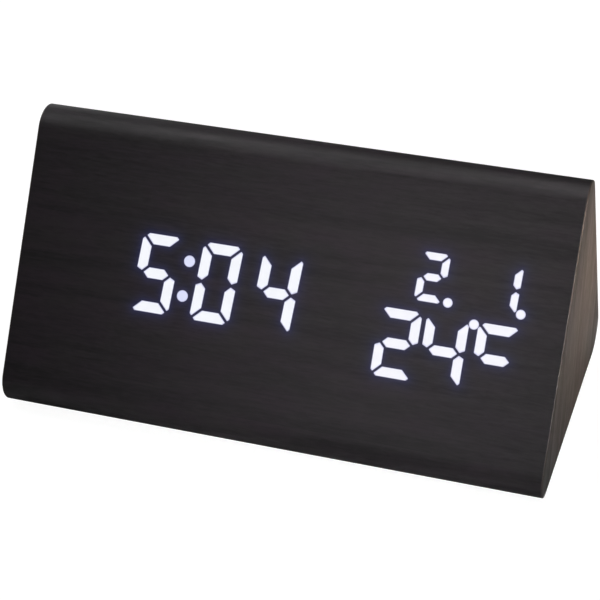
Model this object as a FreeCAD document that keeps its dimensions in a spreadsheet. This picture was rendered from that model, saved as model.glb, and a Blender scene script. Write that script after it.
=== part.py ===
"""Wedge-shaped wooden desk clock with a light display behind its front film.

A folded MDF sleeve with two glued-in ends, wrapped in a thin wood-look film, holds a seven-segment
display at the front, a recessed button panel on the rear slope and a battery tray in the base.
Units are millimetres and degrees. X runs along the case, the front faces -Y and +Z is up, with the
origin under the middle of the case at the height of the feet's soles.
"""
import FreeCAD, Part
import os
import re
import Sketcher
from FreeCAD import Rotation, Vector
from math import atan2, cos, degrees, pi, radians, sin, sqrt, tan

SIZES = {
    # case: an upright isosceles wedge, measured to its sharp corners and then rounded
    "case_length": 150.0,
    "base_width": 92.5,
    "face_angle": 60.0,
    "corner_radius": 7.0,
    "film_thickness": 0.4,
    "wall_thickness": 6.0,
    "end_panel_thickness": 5.0,
    "foot_height": 1.0,
    "foot_diameter": 8.0,
    "foot_inset_along": 11.0,
    "foot_inset_across": 19.0,
    # display window in the front wall, and the board behind it
    "display_rise": 46.08,
    "window_end_room": 11.0,
    "window_height": 42.0,
    "window_centre": 1.5,
    "window_clearance": 0.2,
    "pcb_thickness": 1.6,
    "display_board_margin": 3.6,
    "diffuser_depth": 1.5,
    "led_length": 1.6,
    "led_width": 0.8,
    "led_height": 0.7,
    # time digits, leaning to the right
    "time_digit_height": 21.0,
    "time_digit_width": 11.14,
    "time_stroke": 2.83,
    "time_bar_mitre": 0.4,
    "time_upright_mitre": 0.61,
    "time_corner_cut": 1.65,
    "time_pitch": 16.65,
    "time_slant": 3.38,
    "colon_end_room": 35.76,
    "colon_room": 17.12,
    "colon_spread": 9.41,
    "colon_dot": 3.07,
    # date digits
    "date_digit_height": 12.79,
    "date_digit_width": 7.65,
    "date_stroke": 1.95,
    "date_bar_mitre": 0.33,
    "date_upright_mitre": 0.48,
    "date_corner_cut": 1.27,
    "date_pitch": 8.44,
    "date_room": 10.5,
    "date_slant": 1.67,
    "date_lift": 10.58,
    "date_end_room": 3.78,
    "date_dot": 2.5,
    "date_dot_offset": 1.12,
    # temperature digits
    "temperature_digit_height": 17.96,
    "temperature_digit_width": 11.15,
    "temperature_stroke": 2.57,
    "temperature_bar_mitre": 0.36,
    "temperature_upright_mitre": 0.56,
    "temperature_corner_cut": 1.55,
    "temperature_pitch": 12.35,
    "temperature_slant": 0.71,
    "temperature_drop": 7.72,
    "temperature_end_room": 1.83,
    "degree_room": 13.51,
    "degree_dot": 2.55,
    "degree_drop": 0.85,
    # wood screws
    "screw_head": 4.0,
    "screw_shank": 2.0,
    "screw_head_height": 1.2,
    "display_screw_bite": 4.5,
    "panel_screw_bite": 2.8,
    "tray_screw_length": 5.6,
    # recessed control panel on the rear slope
    "panel_length": 62.0,
    "panel_height": 28.0,
    "panel_corner": 3.0,
    "panel_clearance": 0.2,
    "panel_seat": 3.4,
    "panel_thickness": 1.8,
    "panel_rim": 1.2,
    "panel_ledge_ends": 6.0,
    "panel_ledge_sides": 3.0,
    "boss_length": 7.0,
    "boss_diameter": 4.4,
    "boss_end_room": 9.5,
    "boss_spacing_across": 15.6,
    "board_screw_length": 5.0,
    "board_room": 1.0,
    "board_tray_gap": 0.8,
    # push buttons and the key switches under them
    "button_diameter": 5.6,
    "button_proud": 0.7,
    "button_edge": 0.4,
    "button_flange": 7.0,
    "button_flange_thickness": 0.8,
    "button_end_room": 14.0,
    "button_clearance": 0.15,
    "button_play": 0.05,
    "button_travel": 0.4,
    "key_body": 6.0,
    "key_height": 3.4,
    "key_plunger": 3.4,
    "key_plunger_depth": 2.0,
    "key_clearance": 0.1,
    # sound switch
    "slider_body_length": 8.6,
    "slider_body_width": 4.0,
    "slider_body_height": 3.6,
    "slider_knob_length": 2.0,
    "slider_knob_width": 1.8,
    "slider_knob_proud": 0.7,
    "slider_knob_depth": 1.6,
    "slider_travel": 2.0,
    "slider_clearance": 0.15,
    # power inlet, microphone and temperature sensor
    "jack_end_room": 10.5,
    "jack_outside": 5.4,
    "jack_bore": 3.7,
    "jack_pin": 1.3,
    "jack_pin_recess": 0.6,
    "jack_depth": 7.0,
    "jack_block": 7.0,
    "jack_block_height": 3.6,
    "microphone_diameter": 4.0,
    "microphone_height": 5.0,
    "microphone_hole": 1.4,
    "microphone_across": -8.5,
    "sensor_length": 3.0,
    "sensor_width": 1.6,
    "sensor_height": 2.2,
    "sensor_leg": 0.5,
    "sensor_leg_pitch": 1.4,
    "sensor_leg_length": 3.8,
    "sensor_slit_width": 1.0,
    "sensor_slit_length": 4.0,
    "sensor_across": 8.0,
    # parts on the back of the main board
    "chip_length": 10.0,
    "chip_width": 6.0,
    "chip_height": 1.6,
    "crystal_diameter": 2.0,
    "crystal_length": 6.0,
    "buzzer_diameter": 9.0,
    "buzzer_height": 4.5,
    # battery tray and its door, measured along and across the case
    "cell_diameter": 10.5,
    "cell_length": 44.5,
    "cell_nub": 3.8,
    "cell_nub_height": 0.8,
    "cell_pitch": 11.0,
    "cell_clearance": 0.1,
    "spring_room": 4.7,
    "spring_wire": 0.6,
    "spring_base": 7.2,
    "spring_tip": 4.4,
    "spring_turns": 2.5,
    "spring_steps": 6,
    "contact_plate": 0.4,
    "contact_width": 8.0,
    "tray_offset": 1.0,
    "tray_wall": 1.5,
    "tray_flange": 4.8,
    "flange_thickness": 2.4,
    "tray_corner": 2.0,
    "tray_clearance": 0.2,
    "door_ledge": 1.0,
    "door_thickness": 1.4,
    "door_clearance": 0.2,
    "door_corner": 1.0,
    "tab_length": 1.2,
    "tab_width": 8.0,
    "tab_thickness": 0.7,
    "tab_spacing": 28.0,
    "tab_clearance": 0.3,
    "latch_width": 10.0,
    "latch_length": 7.0,
    "latch_slot": 0.8,
    "thumb_notch_width": 12.0,
    "thumb_notch_depth": 2.6,
    # cables inside
    "header_length": 14.0,
    "header_width": 4.0,
    "header_height": 2.5,
    "header_rise": 9.0,
    "ribbon_width": 10.0,
    "ribbon_thickness": 0.8,
    "ribbon_bend": 12.0,
    "lead_diameter": 1.3,
    "lead_spacing": 6.0,
    "lead_edge": 3.5,
    "lead_bend": 4.0,
}

doc = FreeCAD.newDocument("wedge_clock")
sheet = doc.addObject("Spreadsheet::Sheet", "dims")
for row, (name, number) in enumerate(SIZES.items(), 1):
    sheet.set(f"A{row}", name)
    sheet.set(f"B{row}", str(number))
    sheet.setAlias(f"B{row}", name)
doc.recompute()


def bound(text):
    """The expression `text` with every size's name led by the sheet's."""
    return re.sub(r"[a-z]\w+", lambda word: f"dims.{word[0]}" if word[0] in SIZES else word[0], text)


def value(text):
    """What the expression `text` comes to with the sheet's numbers."""
    return float(sheet.evalExpression(bound(text)))


# Depths below the outer faces, as expressions.
INNER = "(film_thickness + wall_thickness)"
DISPLAY_BACK = "(film_thickness + wall_thickness + pcb_thickness)"
PANEL_FACE = "(panel_seat - panel_thickness)"
BOARD_FRONT = "(panel_seat + boss_length)"
BOARD_BACK = "(panel_seat + boss_length + pcb_thickness)"
TRAY_SEAT = "(film_thickness + flange_thickness)"
DOOR_INNER = "(film_thickness + door_thickness)"
CELL_AXIS = "(film_thickness + door_thickness + cell_clearance + cell_diameter/2)"
TRAY_FLOOR = "(film_thickness + door_thickness + 2*cell_clearance + cell_diameter)"
TRAY_TOP = f"({TRAY_FLOOR} + tray_wall)"

# Other shared lengths.
SLEEVE_END = "(case_length/2 - film_thickness)"
CAVITY_LENGTH = "(cell_length + spring_room + 2*contact_plate)"
CAVITY_WIDTH = "(4*cell_pitch + 2*cell_clearance)"
MOUTH_LENGTH = f"({CAVITY_LENGTH} + 2*door_ledge)"
MOUTH_WIDTH = f"({CAVITY_WIDTH} + 2*door_ledge)"
CUP_LENGTH = f"({CAVITY_LENGTH} + 2*tray_wall)"
CUP_WIDTH = f"({CAVITY_WIDTH} + 2*tray_wall)"
FLANGE_LENGTH = f"({CAVITY_LENGTH} + 2*tray_wall + 2*tray_flange)"
FLANGE_WIDTH = f"({CAVITY_WIDTH} + 2*tray_wall + 2*tray_flange)"
OVERRUN = "1"  # how far a cut runs past the face it opens

# The window spans the front between the end panels, and each row of digits keeps its place in it.
WINDOW_LENGTH = "(case_length - 2*window_end_room)"
WINDOW_LEFT = f"(window_centre - {WINDOW_LENGTH}/2)"
WINDOW_RIGHT = f"(window_centre + {WINDOW_LENGTH}/2)"
COLON_CENTRE = f"({WINDOW_LEFT} + colon_end_room)"
DATE_END = f"({WINDOW_RIGHT} - date_end_room)"
TEMPERATURE_END = f"({WINDOW_RIGHT} - temperature_end_room)"
RISES = {
    "time": "display_rise",
    "date": "(display_rise + date_lift)",
    "temperature": "(display_rise - temperature_drop)",
}

# The main board, and the panel over it, sit just above the tray's rear top edge on the rear slope.
TRAY_EDGE_RISE = (
    f"((base_width/2 + tray_offset - {CUP_WIDTH}/2)*cos(face_angle) + {TRAY_TOP}*sin(face_angle))"
)
BOARD_HEIGHT = "(panel_height - board_room)"
PANEL_RISE = f"({TRAY_EDGE_RISE} + board_tray_gap + {BOARD_HEIGHT}/2)"


def face_frame(face, height="0"):
    """Placement of a frame on an outer face, as an expression.

    x runs along the case, y up the face (towards the front on the base) and z outwards, and the
    frame is raised by `height`. On the rear face x runs towards -X.
    """
    rise = f"foot_height + ({height})*cos(face_angle)"
    reach = f"base_width/2 + ({height})*sin(face_angle)"
    places = {
        "case": ("0", height, "0; 0; 0"),
        "front": (f"-({reach})", rise, "0; 0; face_angle"),
        "rear": (reach, rise, "180; 0; face_angle"),
        "base": ("0", f"foot_height - ({height})", "0; 0; 180"),
    }
    y, z, turn = places[face]
    return bound(f"placement(vector(0; {y}; {z}); rotation({turn}))")


sub_parts = []


def sub_part(item, label):
    """Names a finished sub-part and puts it on the list of those written out."""
    item.Label = label
    sub_parts.append(item)
    return item


def new_body(label, face="case"):
    """Body whose own frame lies on an outer face of the case."""
    body = doc.addObject("PartDesign::Body", label)
    body.setExpression("Placement", face_frame(face))
    return body


def new_sketch(body, name, height, plane, face):
    """Sketch on a plane of the body's origin, or on an outer face of the case, raised by `height`."""
    sketch = body.newObject("Sketcher::SketchObject", f"{body.Name}_{name}_outline")
    support = next(part for part in body.Origin.OriginFeatures if part.Role == plane)
    sketch.AttachmentSupport = [(support, "")]
    sketch.MapMode = "FlatFace"
    raised = bound(f"placement(vector(0; 0; {height}); rotation(0; 0; 0))")
    sketch.setExpression("AttachmentOffset", face_frame(face, height) if face else raised)
    return sketch


def pad(body, name, low, high, *outlines, plane="XY_Plane", face=None):
    """Adds the outlines to the body between two heights."""
    sketch = new_sketch(body, name, low, plane, face)
    for outline in outlines:
        outline(sketch)
    feature = body.newObject("PartDesign::Pad", f"{body.Name}_{name}")
    feature.Profile = sketch
    feature.setExpression("Length", bound(f"({high}) - ({low})"))
    doc.recompute()
    return feature


def cut(body, name, low, high, *outlines, plane="XY_Plane", face=None):
    """Takes the outlines out of the body between two heights."""
    before = body.Shape.Volume
    sketch = new_sketch(body, name, high, plane, face)
    for outline in outlines:
        outline(sketch)
    feature = body.newObject("PartDesign::Pocket", f"{body.Name}_{name}")
    feature.Profile = sketch
    feature.setExpression("Length", bound(f"({high}) - ({low})"))
    doc.recompute()
    if not body.Shape.Volume < before:
        raise RuntimeError(f"{body.Name} {name} takes nothing away")
    return feature


def dress(body, kind, name, size, wanted):
    """Fillet or Chamfer of the given size on the tip's edges that `wanted` picks."""
    tip = body.Tip
    edges = [f"Edge{number}" for number, edge in enumerate(tip.Shape.Edges, 1) if wanted(edge)]
    feature = body.newObject(f"PartDesign::{kind}", f"{body.Name}_{name}")
    feature.Base = (tip, edges)
    feature.setExpression("Radius" if kind == "Fillet" else "Size", bound(size))
    doc.recompute()
    return feature


def fix(sketch, kind, *where, size):
    """Adds a dimension bound to the sheet."""
    number = sketch.addConstraint(Sketcher.Constraint(kind, *where, value(size)))
    sketch.setExpression(f"Constraints[{number}]", bound(size))


def circle(x, y, diameter):
    """Outline: a circle about (x, y)."""

    def draw(sketch):
        centre = Vector(value(x), value(y), 0)
        ring = sketch.addGeometry(Part.Circle(centre, Vector(0, 0, 1), value(diameter) / 2))
        fix(sketch, "Diameter", ring, size=diameter)
        fix(sketch, "DistanceX", -1, 1, ring, 3, size=x)
        fix(sketch, "DistanceY", -1, 1, ring, 3, size=y)

    return draw


def many_sided(x, y, diameter, sides=8):
    """Outline: a regular polygon round a circle about (x, y), for small round forms kept light."""

    def draw(sketch):
        reach = f"({diameter})/cos({180 / sides})"
        radius = value(reach) / 2
        centre = Vector(value(x), value(y), 0)
        ring = sketch.addGeometry(Part.Circle(centre, Vector(0, 0, 1), radius), True)
        fix(sketch, "Diameter", ring, size=reach)
        fix(sketch, "DistanceX", -1, 1, ring, 3, size=x)
        fix(sketch, "DistanceY", -1, 1, ring, 3, size=y)
        turns = [2 * pi * (number - 0.5) / sides for number in range(sides + 1)]
        corners = [centre + Vector(cos(turn), sin(turn), 0) * radius for turn in turns]
        lines = [sketch.addGeometry(Part.LineSegment(*ends)) for ends in zip(corners, corners[1:])]
        for number, line in enumerate(lines):
            sketch.addConstraint(Sketcher.Constraint("Coincident", lines[number - 1], 2, line, 1))
            sketch.addConstraint(Sketcher.Constraint("PointOnObject", line, 1, ring))
        for line in lines[1:]:
            sketch.addConstraint(Sketcher.Constraint("Equal", lines[0], line))
        sketch.addConstraint(Sketcher.Constraint("Vertical", lines[0]))

    return draw


def rectangle(x, y, length, width, corner=None):
    """Outline: a rectangle about (x, y), with round corners where a radius is given."""

    def draw(sketch):
        radius = value(corner) if corner else 0
        left, right = value(x) - value(length) / 2, value(x) + value(length) / 2
        low, high = value(y) - value(width) / 2, value(y) + value(width) / 2
        ends = [
            (left + radius, low, right - radius, low),
            (right, low + radius, right, high - radius),
            (right - radius, high, left + radius, high),
            (left, high - radius, left, low + radius),
        ]
        turns = [(right - radius, low + radius), (right - radius, high - radius)]
        turns += [(left + radius, high - radius), (left + radius, low + radius)]
        sides, arcs = [], []
        for quarter, (end, turn) in enumerate(zip(ends, turns)):
            side = Part.LineSegment(Vector(end[0], end[1], 0), Vector(end[2], end[3], 0))
            sides.append(sketch.addGeometry(side))
            if corner:
                round_edge = Part.Circle(Vector(*turn, 0), Vector(0, 0, 1), radius)
                start = (quarter - 1) * pi / 2
                arcs.append(sketch.addGeometry(Part.ArcOfCircle(round_edge, start, start + pi / 2)))
        for number in range(4):
            follower = sides[(number + 1) % 4]
            if corner:
                sketch.addConstraint(Sketcher.Constraint("Tangent", sides[number], 2, arcs[number], 1))
                sketch.addConstraint(Sketcher.Constraint("Tangent", arcs[number], 2, follower, 1))
            else:
                sketch.addConstraint(Sketcher.Constraint("Coincident", sides[number], 2, follower, 1))
            kind = "Vertical" if number % 2 else "Horizontal"
            sketch.addConstraint(Sketcher.Constraint(kind, sides[number]))
        for arc in arcs[1:]:
            sketch.addConstraint(Sketcher.Constraint("Equal", arcs[0], arc))
        if corner:
            fix(sketch, "Radius", arcs[0], size=corner)
        fix(sketch, "DistanceX", sides[3], 1, sides[1], 1, size=length)
        fix(sketch, "DistanceY", sides[0], 1, sides[2], 1, size=width)
        fix(sketch, "DistanceX", -1, 1, sides[3], 1, size=f"{x} - ({length})/2")
        fix(sketch, "DistanceY", -1, 1, sides[0], 1, size=f"{y} - ({width})/2")

    return draw


def wedge(inset, corner=None):
    """Outline: the case's end view, drawn `inset` inside its outer faces, sharp or rounded."""

    def draw(sketch):
        first = sketch.GeometryCount
        radius = value(corner) if corner else 0
        corners = wedge_corners(inset)
        half_angles = [value("face_angle/2"), value("face_angle/2"), value("90 - face_angle")]
        starts, ends, centres = [], [], []
        for number, tip in enumerate(corners):
            half_angle = radians(half_angles[number])
            before = (corners[number - 1] - tip).normalize()
            after = (corners[(number + 1) % 3] - tip).normalize()
            ends.append(tip + before * (radius / tan(half_angle)))
            starts.append(tip + after * (radius / tan(half_angle)))
            centres.append(tip + (before + after).normalize() * (radius / sin(half_angle)))
        for number in range(3):
            sketch.addGeometry(Part.LineSegment(starts[number], ends[(number + 1) % 3]))
        for number in range(3 if corner else 0):
            spoke = ends[number] - centres[number]
            begin = atan2(spoke.y, spoke.x)
            sweep = pi - 2 * radians(half_angles[number])
            ring = Part.Circle(centres[number], Vector(0, 0, 1), radius)
            sketch.addGeometry(Part.ArcOfCircle(ring, begin, begin + sweep))
        for number in range(3):
            side, follower = first + number, first + (number + 1) % 3
            if corner:
                arc = first + 3 + (number + 1) % 3
                sketch.addConstraint(Sketcher.Constraint("Tangent", side, 2, arc, 1))
                sketch.addConstraint(Sketcher.Constraint("Tangent", arc, 2, follower, 1))
            else:
                sketch.addConstraint(Sketcher.Constraint("Coincident", side, 2, follower, 1))
        sketch.addConstraint(Sketcher.Constraint("Symmetric", first, 1, first, 2, -2))
        span = f"(base_width - 2*({inset})/tan(face_angle/2))"
        fix(sketch, "DistanceY", -1, 1, first, 1, size=f"foot_height + {inset}")
        if corner:
            sketch.addConstraint(Sketcher.Constraint("Equal", first + 3, first + 4))
            sketch.addConstraint(Sketcher.Constraint("Equal", first + 3, first + 5))
            sketch.addConstraint(Sketcher.Constraint("PointOnObject", first + 5, 3, -2))
            fix(sketch, "Radius", first + 3, size=corner)
            fix(sketch, "DistanceX", first, 1, first, 2, size=f"{span} - 2*({corner})/tan(face_angle/2)")
            rise = f"{span}/2*tan(face_angle) - ({corner})/cos(face_angle)"
            fix(sketch, "DistanceY", first, 1, first + 5, 3, size=rise)
        else:
            sketch.addConstraint(Sketcher.Constraint("PointOnObject", first + 1, 2, -2))
            fix(sketch, "DistanceX", first, 1, first, 2, size=span)
            fix(sketch, "DistanceY", first, 1, first + 1, 2, size=f"{span}/2*tan(face_angle)")

    return draw


def wedge_corners(inset):
    """The end view's sharp corners as (Y, Z) points: front, rear and top."""
    half = value(f"base_width/2 - ({inset})/tan(face_angle/2)")
    floor = value(f"foot_height + {inset}")
    apex = floor + half * value("tan(face_angle)")
    return [Vector(-half, floor, 0), Vector(half, floor, 0), Vector(0, apex, 0)]


def solids(label, shapes, face="case", height="0"):
    """Sub-part of one or more separate solids worked out in an outer face's frame."""
    feature = doc.addObject("Part::Feature", label)
    feature.Shape = Part.makeCompound(shapes)
    feature.setExpression("Placement", face_frame(face, height))
    return sub_part(feature, label)


def moved(shape, x=0, y=0, z=0, axis=Vector(0, 0, 1), turn=0):
    """Copy of a shape turned about an axis through the origin, then shifted."""
    copy = shape.copy()
    copy.Placement = FreeCAD.Placement(Vector(x, y, z), Rotation(axis, turn)).multiply(copy.Placement)
    return copy


def turned(points):
    """Solid of revolution about z from (radius, height) points, closed along the axis."""
    outline = [Vector(0, 0, points[0][1])] + [Vector(radius, 0, height) for radius, height in points]
    outline.append(Vector(0, 0, points[-1][1]))
    face = Part.Face(Part.makePolygon(outline + outline[:1]))
    return face.revolve(Vector(0, 0, 0), Vector(0, 0, 1), 360)


def polygon(diameter, height=0, sides=12):
    """Regular polygon inside a circle about z, as a closed wire."""
    corner = Vector(diameter / 2, 0, height)
    turns = [FreeCAD.Rotation(Vector(0, 0, 1), 360 * number / sides) for number in range(sides)]
    corners = [turn.multVec(corner) for turn in turns]
    return Part.makePolygon(corners + corners[:1])


def facetted(*rings, sides=12):
    """Flat-sided solid through regular polygons about z, given as (diameter, height) from the lowest up."""
    levels = [polygon(diameter, height, sides).OrderedVertexes for diameter, height in rings]
    levels = [[vertex.Point for vertex in level] for level in levels]
    outlines = [levels[0], levels[-1]]
    for low, high in zip(levels, levels[1:]):
        for here in range(sides):
            outlines.append([low[here - 1], low[here], high[here], high[here - 1]])
    faces = [Part.Face(Part.makePolygon(corners + corners[:1])) for corners in outlines]
    solid = Part.makeSolid(Part.makeShell(faces))
    solid.fix(0, 0, 0)
    return solid


def centred_box(length, width, low, high):
    """Box about the z axis between two heights."""
    return Part.makeBox(length, width, high - low, Vector(-length / 2, -width / 2, low))


# ---------------------------------------------------------------- case

def sleeve():
    """Three MDF walls folded from one board, with the display, panel and battery cut-outs."""
    body = new_body("mdf_sleeve")
    outside = wedge("film_thickness", "corner_radius - film_thickness")
    pad(body, "walls", f"-{SLEEVE_END}", SLEEVE_END, outside, wedge(INNER), plane="YZ_Plane")
    window = rectangle("window_centre", "display_rise", WINDOW_LENGTH, "window_height")
    cut(body, "window", f"-{INNER} - {OVERRUN}", "0", window, face="front")
    recess = rectangle(
        "0", PANEL_RISE, "panel_length + 2*panel_clearance", "panel_height + 2*panel_clearance",
        "panel_corner + panel_clearance",
    )
    cut(body, "panel_recess", "-panel_seat", "0", recess, face="rear")
    opening = rectangle(
        "0", PANEL_RISE, "panel_length - 2*panel_ledge_ends", "panel_height - 2*panel_ledge_sides"
    )
    cut(body, "panel_opening", f"-{INNER} - {OVERRUN}", "-panel_seat", opening, face="rear")
    recess = rectangle(
        "0", "tray_offset", f"{FLANGE_LENGTH} + 2*tray_clearance", f"{FLANGE_WIDTH} + 2*tray_clearance",
        "tray_corner + tray_clearance",
    )
    cut(body, "tray_recess", f"-{TRAY_SEAT}", "0", recess, face="base")
    opening = rectangle(
        "0", "tray_offset", f"{CUP_LENGTH} + 2*tray_clearance", f"{CUP_WIDTH} + 2*tray_clearance"
    )
    cut(body, "tray_opening", f"-{INNER} - {OVERRUN}", f"-{TRAY_SEAT}", opening, face="base")
    pilots = [many_sided(x, y, "screw_shank") for x, y in DISPLAY_SCREWS]
    cut(body, "display_pilots", f"-{INNER}", f"display_screw_bite - {INNER}", *pilots, face="front")
    pilots = [many_sided(x, PANEL_RISE, "screw_shank") for x in PANEL_SCREWS]
    cut(body, "panel_pilots", "-panel_seat - panel_screw_bite", "-panel_seat", *pilots, face="rear")
    pilots = [many_sided(x, y, "screw_shank") for x, y in TRAY_SCREWS]
    cut(body, "tray_pilots", "-film_thickness - tray_screw_length", f"-{TRAY_SEAT}", *pilots, face="base")
    return sub_part(body, "mdf_sleeve")


def end_panel(label, side):
    """MDF end glued in flush with the sleeve; `side` is -1 for the left end and 1 for the right."""
    body = new_body(label)
    outer, inner = SLEEVE_END, f"({SLEEVE_END} - end_panel_thickness)"
    low, high = (inner, outer) if side > 0 else (f"-{outer}", f"-{inner}")
    pad(body, "plate", low, high, wedge(INNER), plane="YZ_Plane")
    return sub_part(body, label)


def end_film(label, side):
    """Film over a whole end, which also covers the wrapped film's edge."""
    body = new_body(label)
    low, high = (SLEEVE_END, "case_length/2") if side > 0 else ("-case_length/2", f"-{SLEEVE_END}")
    pad(body, "sheet", low, high, wedge("0", "corner_radius"), plane="YZ_Plane")
    return sub_part(body, label)


def wrap_film(light_windows):
    """Film round the three faces, with openings for panel and tray and a window for each lit segment."""
    body = new_body("wrap_film_blank")
    inside = wedge("film_thickness", "corner_radius - film_thickness")
    pad(body, "sheet", f"-{SLEEVE_END}", SLEEVE_END, wedge("0", "corner_radius"), inside, plane="YZ_Plane")
    opening = rectangle(
        "0", PANEL_RISE, "panel_length + 2*panel_clearance", "panel_height + 2*panel_clearance",
        "panel_corner + panel_clearance",
    )
    cut(body, "panel_opening", f"-film_thickness - {OVERRUN}", "0", opening, face="rear")
    opening = rectangle(
        "0", "tray_offset", f"{FLANGE_LENGTH} + 2*tray_clearance", f"{FLANGE_WIDTH} + 2*tray_clearance",
        "tray_corner + tray_clearance",
    )
    cut(body, "tray_opening", f"-film_thickness - {OVERRUN}", "0", opening, face="base")
    film = doc.addObject("Part::Cut", "wrap_film")
    film.Base = body
    film.Tool = light_windows
    doc.recompute()
    return sub_part(film, "wrap_film")


def feet():
    """Four stick-on rubber pads under the corners of the base."""
    size = value("foot_diameter")
    pad_shape = facetted((size, 0), (size, value("foot_height")), sides=24)
    along = value("case_length/2 - foot_inset_along")
    across = value("base_width/2 - foot_inset_across")
    places = [(x, y) for x in (-along, along) for y in (-across, across)]
    return solids("rubber_feet", [moved(pad_shape, x, y) for x, y in places], "base")


# ---------------------------------------------------------------- display

DISPLAY_EDGE = "(display_board_margin/2)"
DISPLAY_SCREWS = [
    (
        f"window_centre + {side}*({WINDOW_LENGTH}/2 + {DISPLAY_EDGE})",
        f"display_rise + {level}*(window_height/2 + {DISPLAY_EDGE})",
    )
    for side in (-1, 1)
    for level in (-1, 1)
]

# the segments that each place needs for what it can show, from the left
TIME_PLACES = ["abcdeg", "abcdefg", "abcdefg", "abcdefg"]
DATE_PLACES = ["bc", "abcdefg", "abcdeg", "abcdefg"]
TEMPERATURE_PLACES = ["abcdefg", "abcdefg", "aefg"]

SEGMENTS = {
    " ": "",
    "0": "abcdef",
    "1": "bc",
    "2": "abged",
    "4": "fgbc",
    "5": "afgcd",
    "C": "afg",
}


def segment_outline(segment, group):
    """Corner points of one segment of a digit, from the digit's middle, before it leans.

    The outer corners of the digit are cut at 45 degrees, neighbours are mitred with a gap between
    them, and the middle bar has two points. The top and bottom bars reach a little further into
    the mitres than the uprights.
    """
    half_width = value(f"{group}_digit_width") / 2
    half_height = value(f"{group}_digit_height") / 2
    stroke = value(f"{group}_stroke")
    bar_mitre, upright_mitre = value(f"{group}_bar_mitre"), value(f"{group}_upright_mitre")
    corner = value(f"{group}_corner_cut")
    shoulder = bar_mitre + stroke / 4
    if segment == "g":
        tip = half_width - stroke / 2 - upright_mitre
        flat = half_width - stroke - upright_mitre
        upper = [(-tip, 0), (-flat, stroke / 2), (flat, stroke / 2)]
        return upper + [(-x, -y) for x, y in upper]
    if segment in "ad":
        up = 1 if segment == "a" else -1
        outer = half_width - corner
        tip = half_width - (corner + bar_mitre) / 2
        inner = half_width - stroke - bar_mitre
        edge = [(outer, 0), (tip, (corner - bar_mitre) / 2), (inner, stroke)]
        right = [(x, up * (half_height - drop)) for x, drop in edge]
        return right + [(-x, y) for x, y in reversed(right)]
    side = 1 if segment in "bc" else -1
    up = 1 if segment in "bf" else -1
    points = [
        (0, shoulder),
        (0, half_height - corner),
        ((corner - upright_mitre) / 2, half_height - (corner + upright_mitre) / 2),
        (stroke, half_height - stroke - upright_mitre),
        (stroke, stroke / 2 + bar_mitre),
        (stroke / 2, bar_mitre),
    ]
    return [(side * (half_width - inward), up * y) for inward, y in points]


def digits(group, text, places, middles):
    """Flat faces of a row of digits, split into lit and unlit ones, and each segment's middle.

    `places` has the segments that the display has at each digit's place.
    """
    lean = tan(radians(value(f"{group}_slant")))
    rise = value(RISES[group])
    lit, unlit, middles_of_segments = [], [], []
    for character, place, middle in zip(text, places, middles):
        for segment in place:
            corners = [Vector(middle + x + y * lean, rise + y, 0) for x, y in segment_outline(segment, group)]
            face = Part.Face(Part.makePolygon(corners + corners[:1]))
            (lit if segment in SEGMENTS[character] else unlit).append(face)
            middles_of_segments.append((face.CenterOfMass, 0 if segment in "adg" else 90))
    return lit, unlit, middles_of_segments


def dot(x, y, diameter):
    """Flat face of a round light, in 16 straight steps."""
    return moved(Part.Face(polygon(diameter, sides=16)), x, y)


def display_layout():
    """Faces of every light in the display by group, and where its light sources sit."""
    hours = value(f"{COLON_CENTRE} - colon_room/2")
    minutes = value(f"{COLON_CENTRE} + colon_room/2")
    step = value("time_pitch")
    middles = [hours - step, hours, minutes, minutes + step]
    time_lit, time_unlit, sources = digits("time", " 504", TIME_PLACES, middles)
    lean = tan(radians(value("time_slant")))
    spread = value("colon_spread") / 2
    colon = [
        dot(value(COLON_CENTRE) + rise * lean, value(RISES["time"]) + rise, value("colon_dot"))
        for rise in (-spread, spread)
    ]
    last = value(f"{DATE_END} - date_digit_width/2")
    step, room = value("date_pitch"), value("date_room")
    middles = [last - 2 * step - room, last - step - room, last - step, last]
    date_lit, date_unlit, date_sources = digits("date", " 2 1", DATE_PLACES, middles)
    foot = value(f"{RISES['date']} - date_digit_height/2 + date_dot/4")
    for back in (step + room, 0):
        date_lit.append(dot(value(f"{DATE_END} + date_dot_offset") - back, foot, value("date_dot")))
    letter = value(f"{TEMPERATURE_END} - temperature_digit_width/2")
    units = letter - value("degree_room")
    middles = [units - value("temperature_pitch"), units, letter]
    warm_lit, warm_unlit, warm_sources = digits("temperature", "24C", TEMPERATURE_PLACES, middles)
    above = value("temperature_digit_height/2 - degree_drop")
    between = letter - value("degree_room/2") + above * tan(radians(value("temperature_slant")))
    warm_lit.append(dot(between, value(RISES["temperature"]) + above, value("degree_dot")))
    groups = {
        "lit_time_segments": time_lit,
        "lit_colon_dots": colon,
        "lit_date_segments": date_lit,
        "lit_temperature_segments": warm_lit,
        "unlit_segments": time_unlit + date_unlit + warm_unlit,
    }
    round_lights = [(face.CenterOfMass, 0) for face in colon + date_lit[-2:] + warm_lit[-1:]]
    return groups, sources + date_sources + warm_sources + round_lights


def prisms(name, faces, low, high):
    """The faces, laid on the front and extruded between two heights."""
    flat = doc.addObject("Part::Feature", f"{name}_outlines")
    flat.Shape = Part.makeCompound(faces)
    prism = doc.addObject("Part::Extrusion", name)
    prism.Base = flat
    prism.DirMode = "Custom"
    prism.Dir = Vector(0, 0, 1)
    prism.Solid = True
    prism.setExpression("LengthFwd", bound(f"({high}) - ({low})"))
    prism.setExpression("Placement", face_frame("front", low))
    doc.recompute()
    return prism


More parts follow.
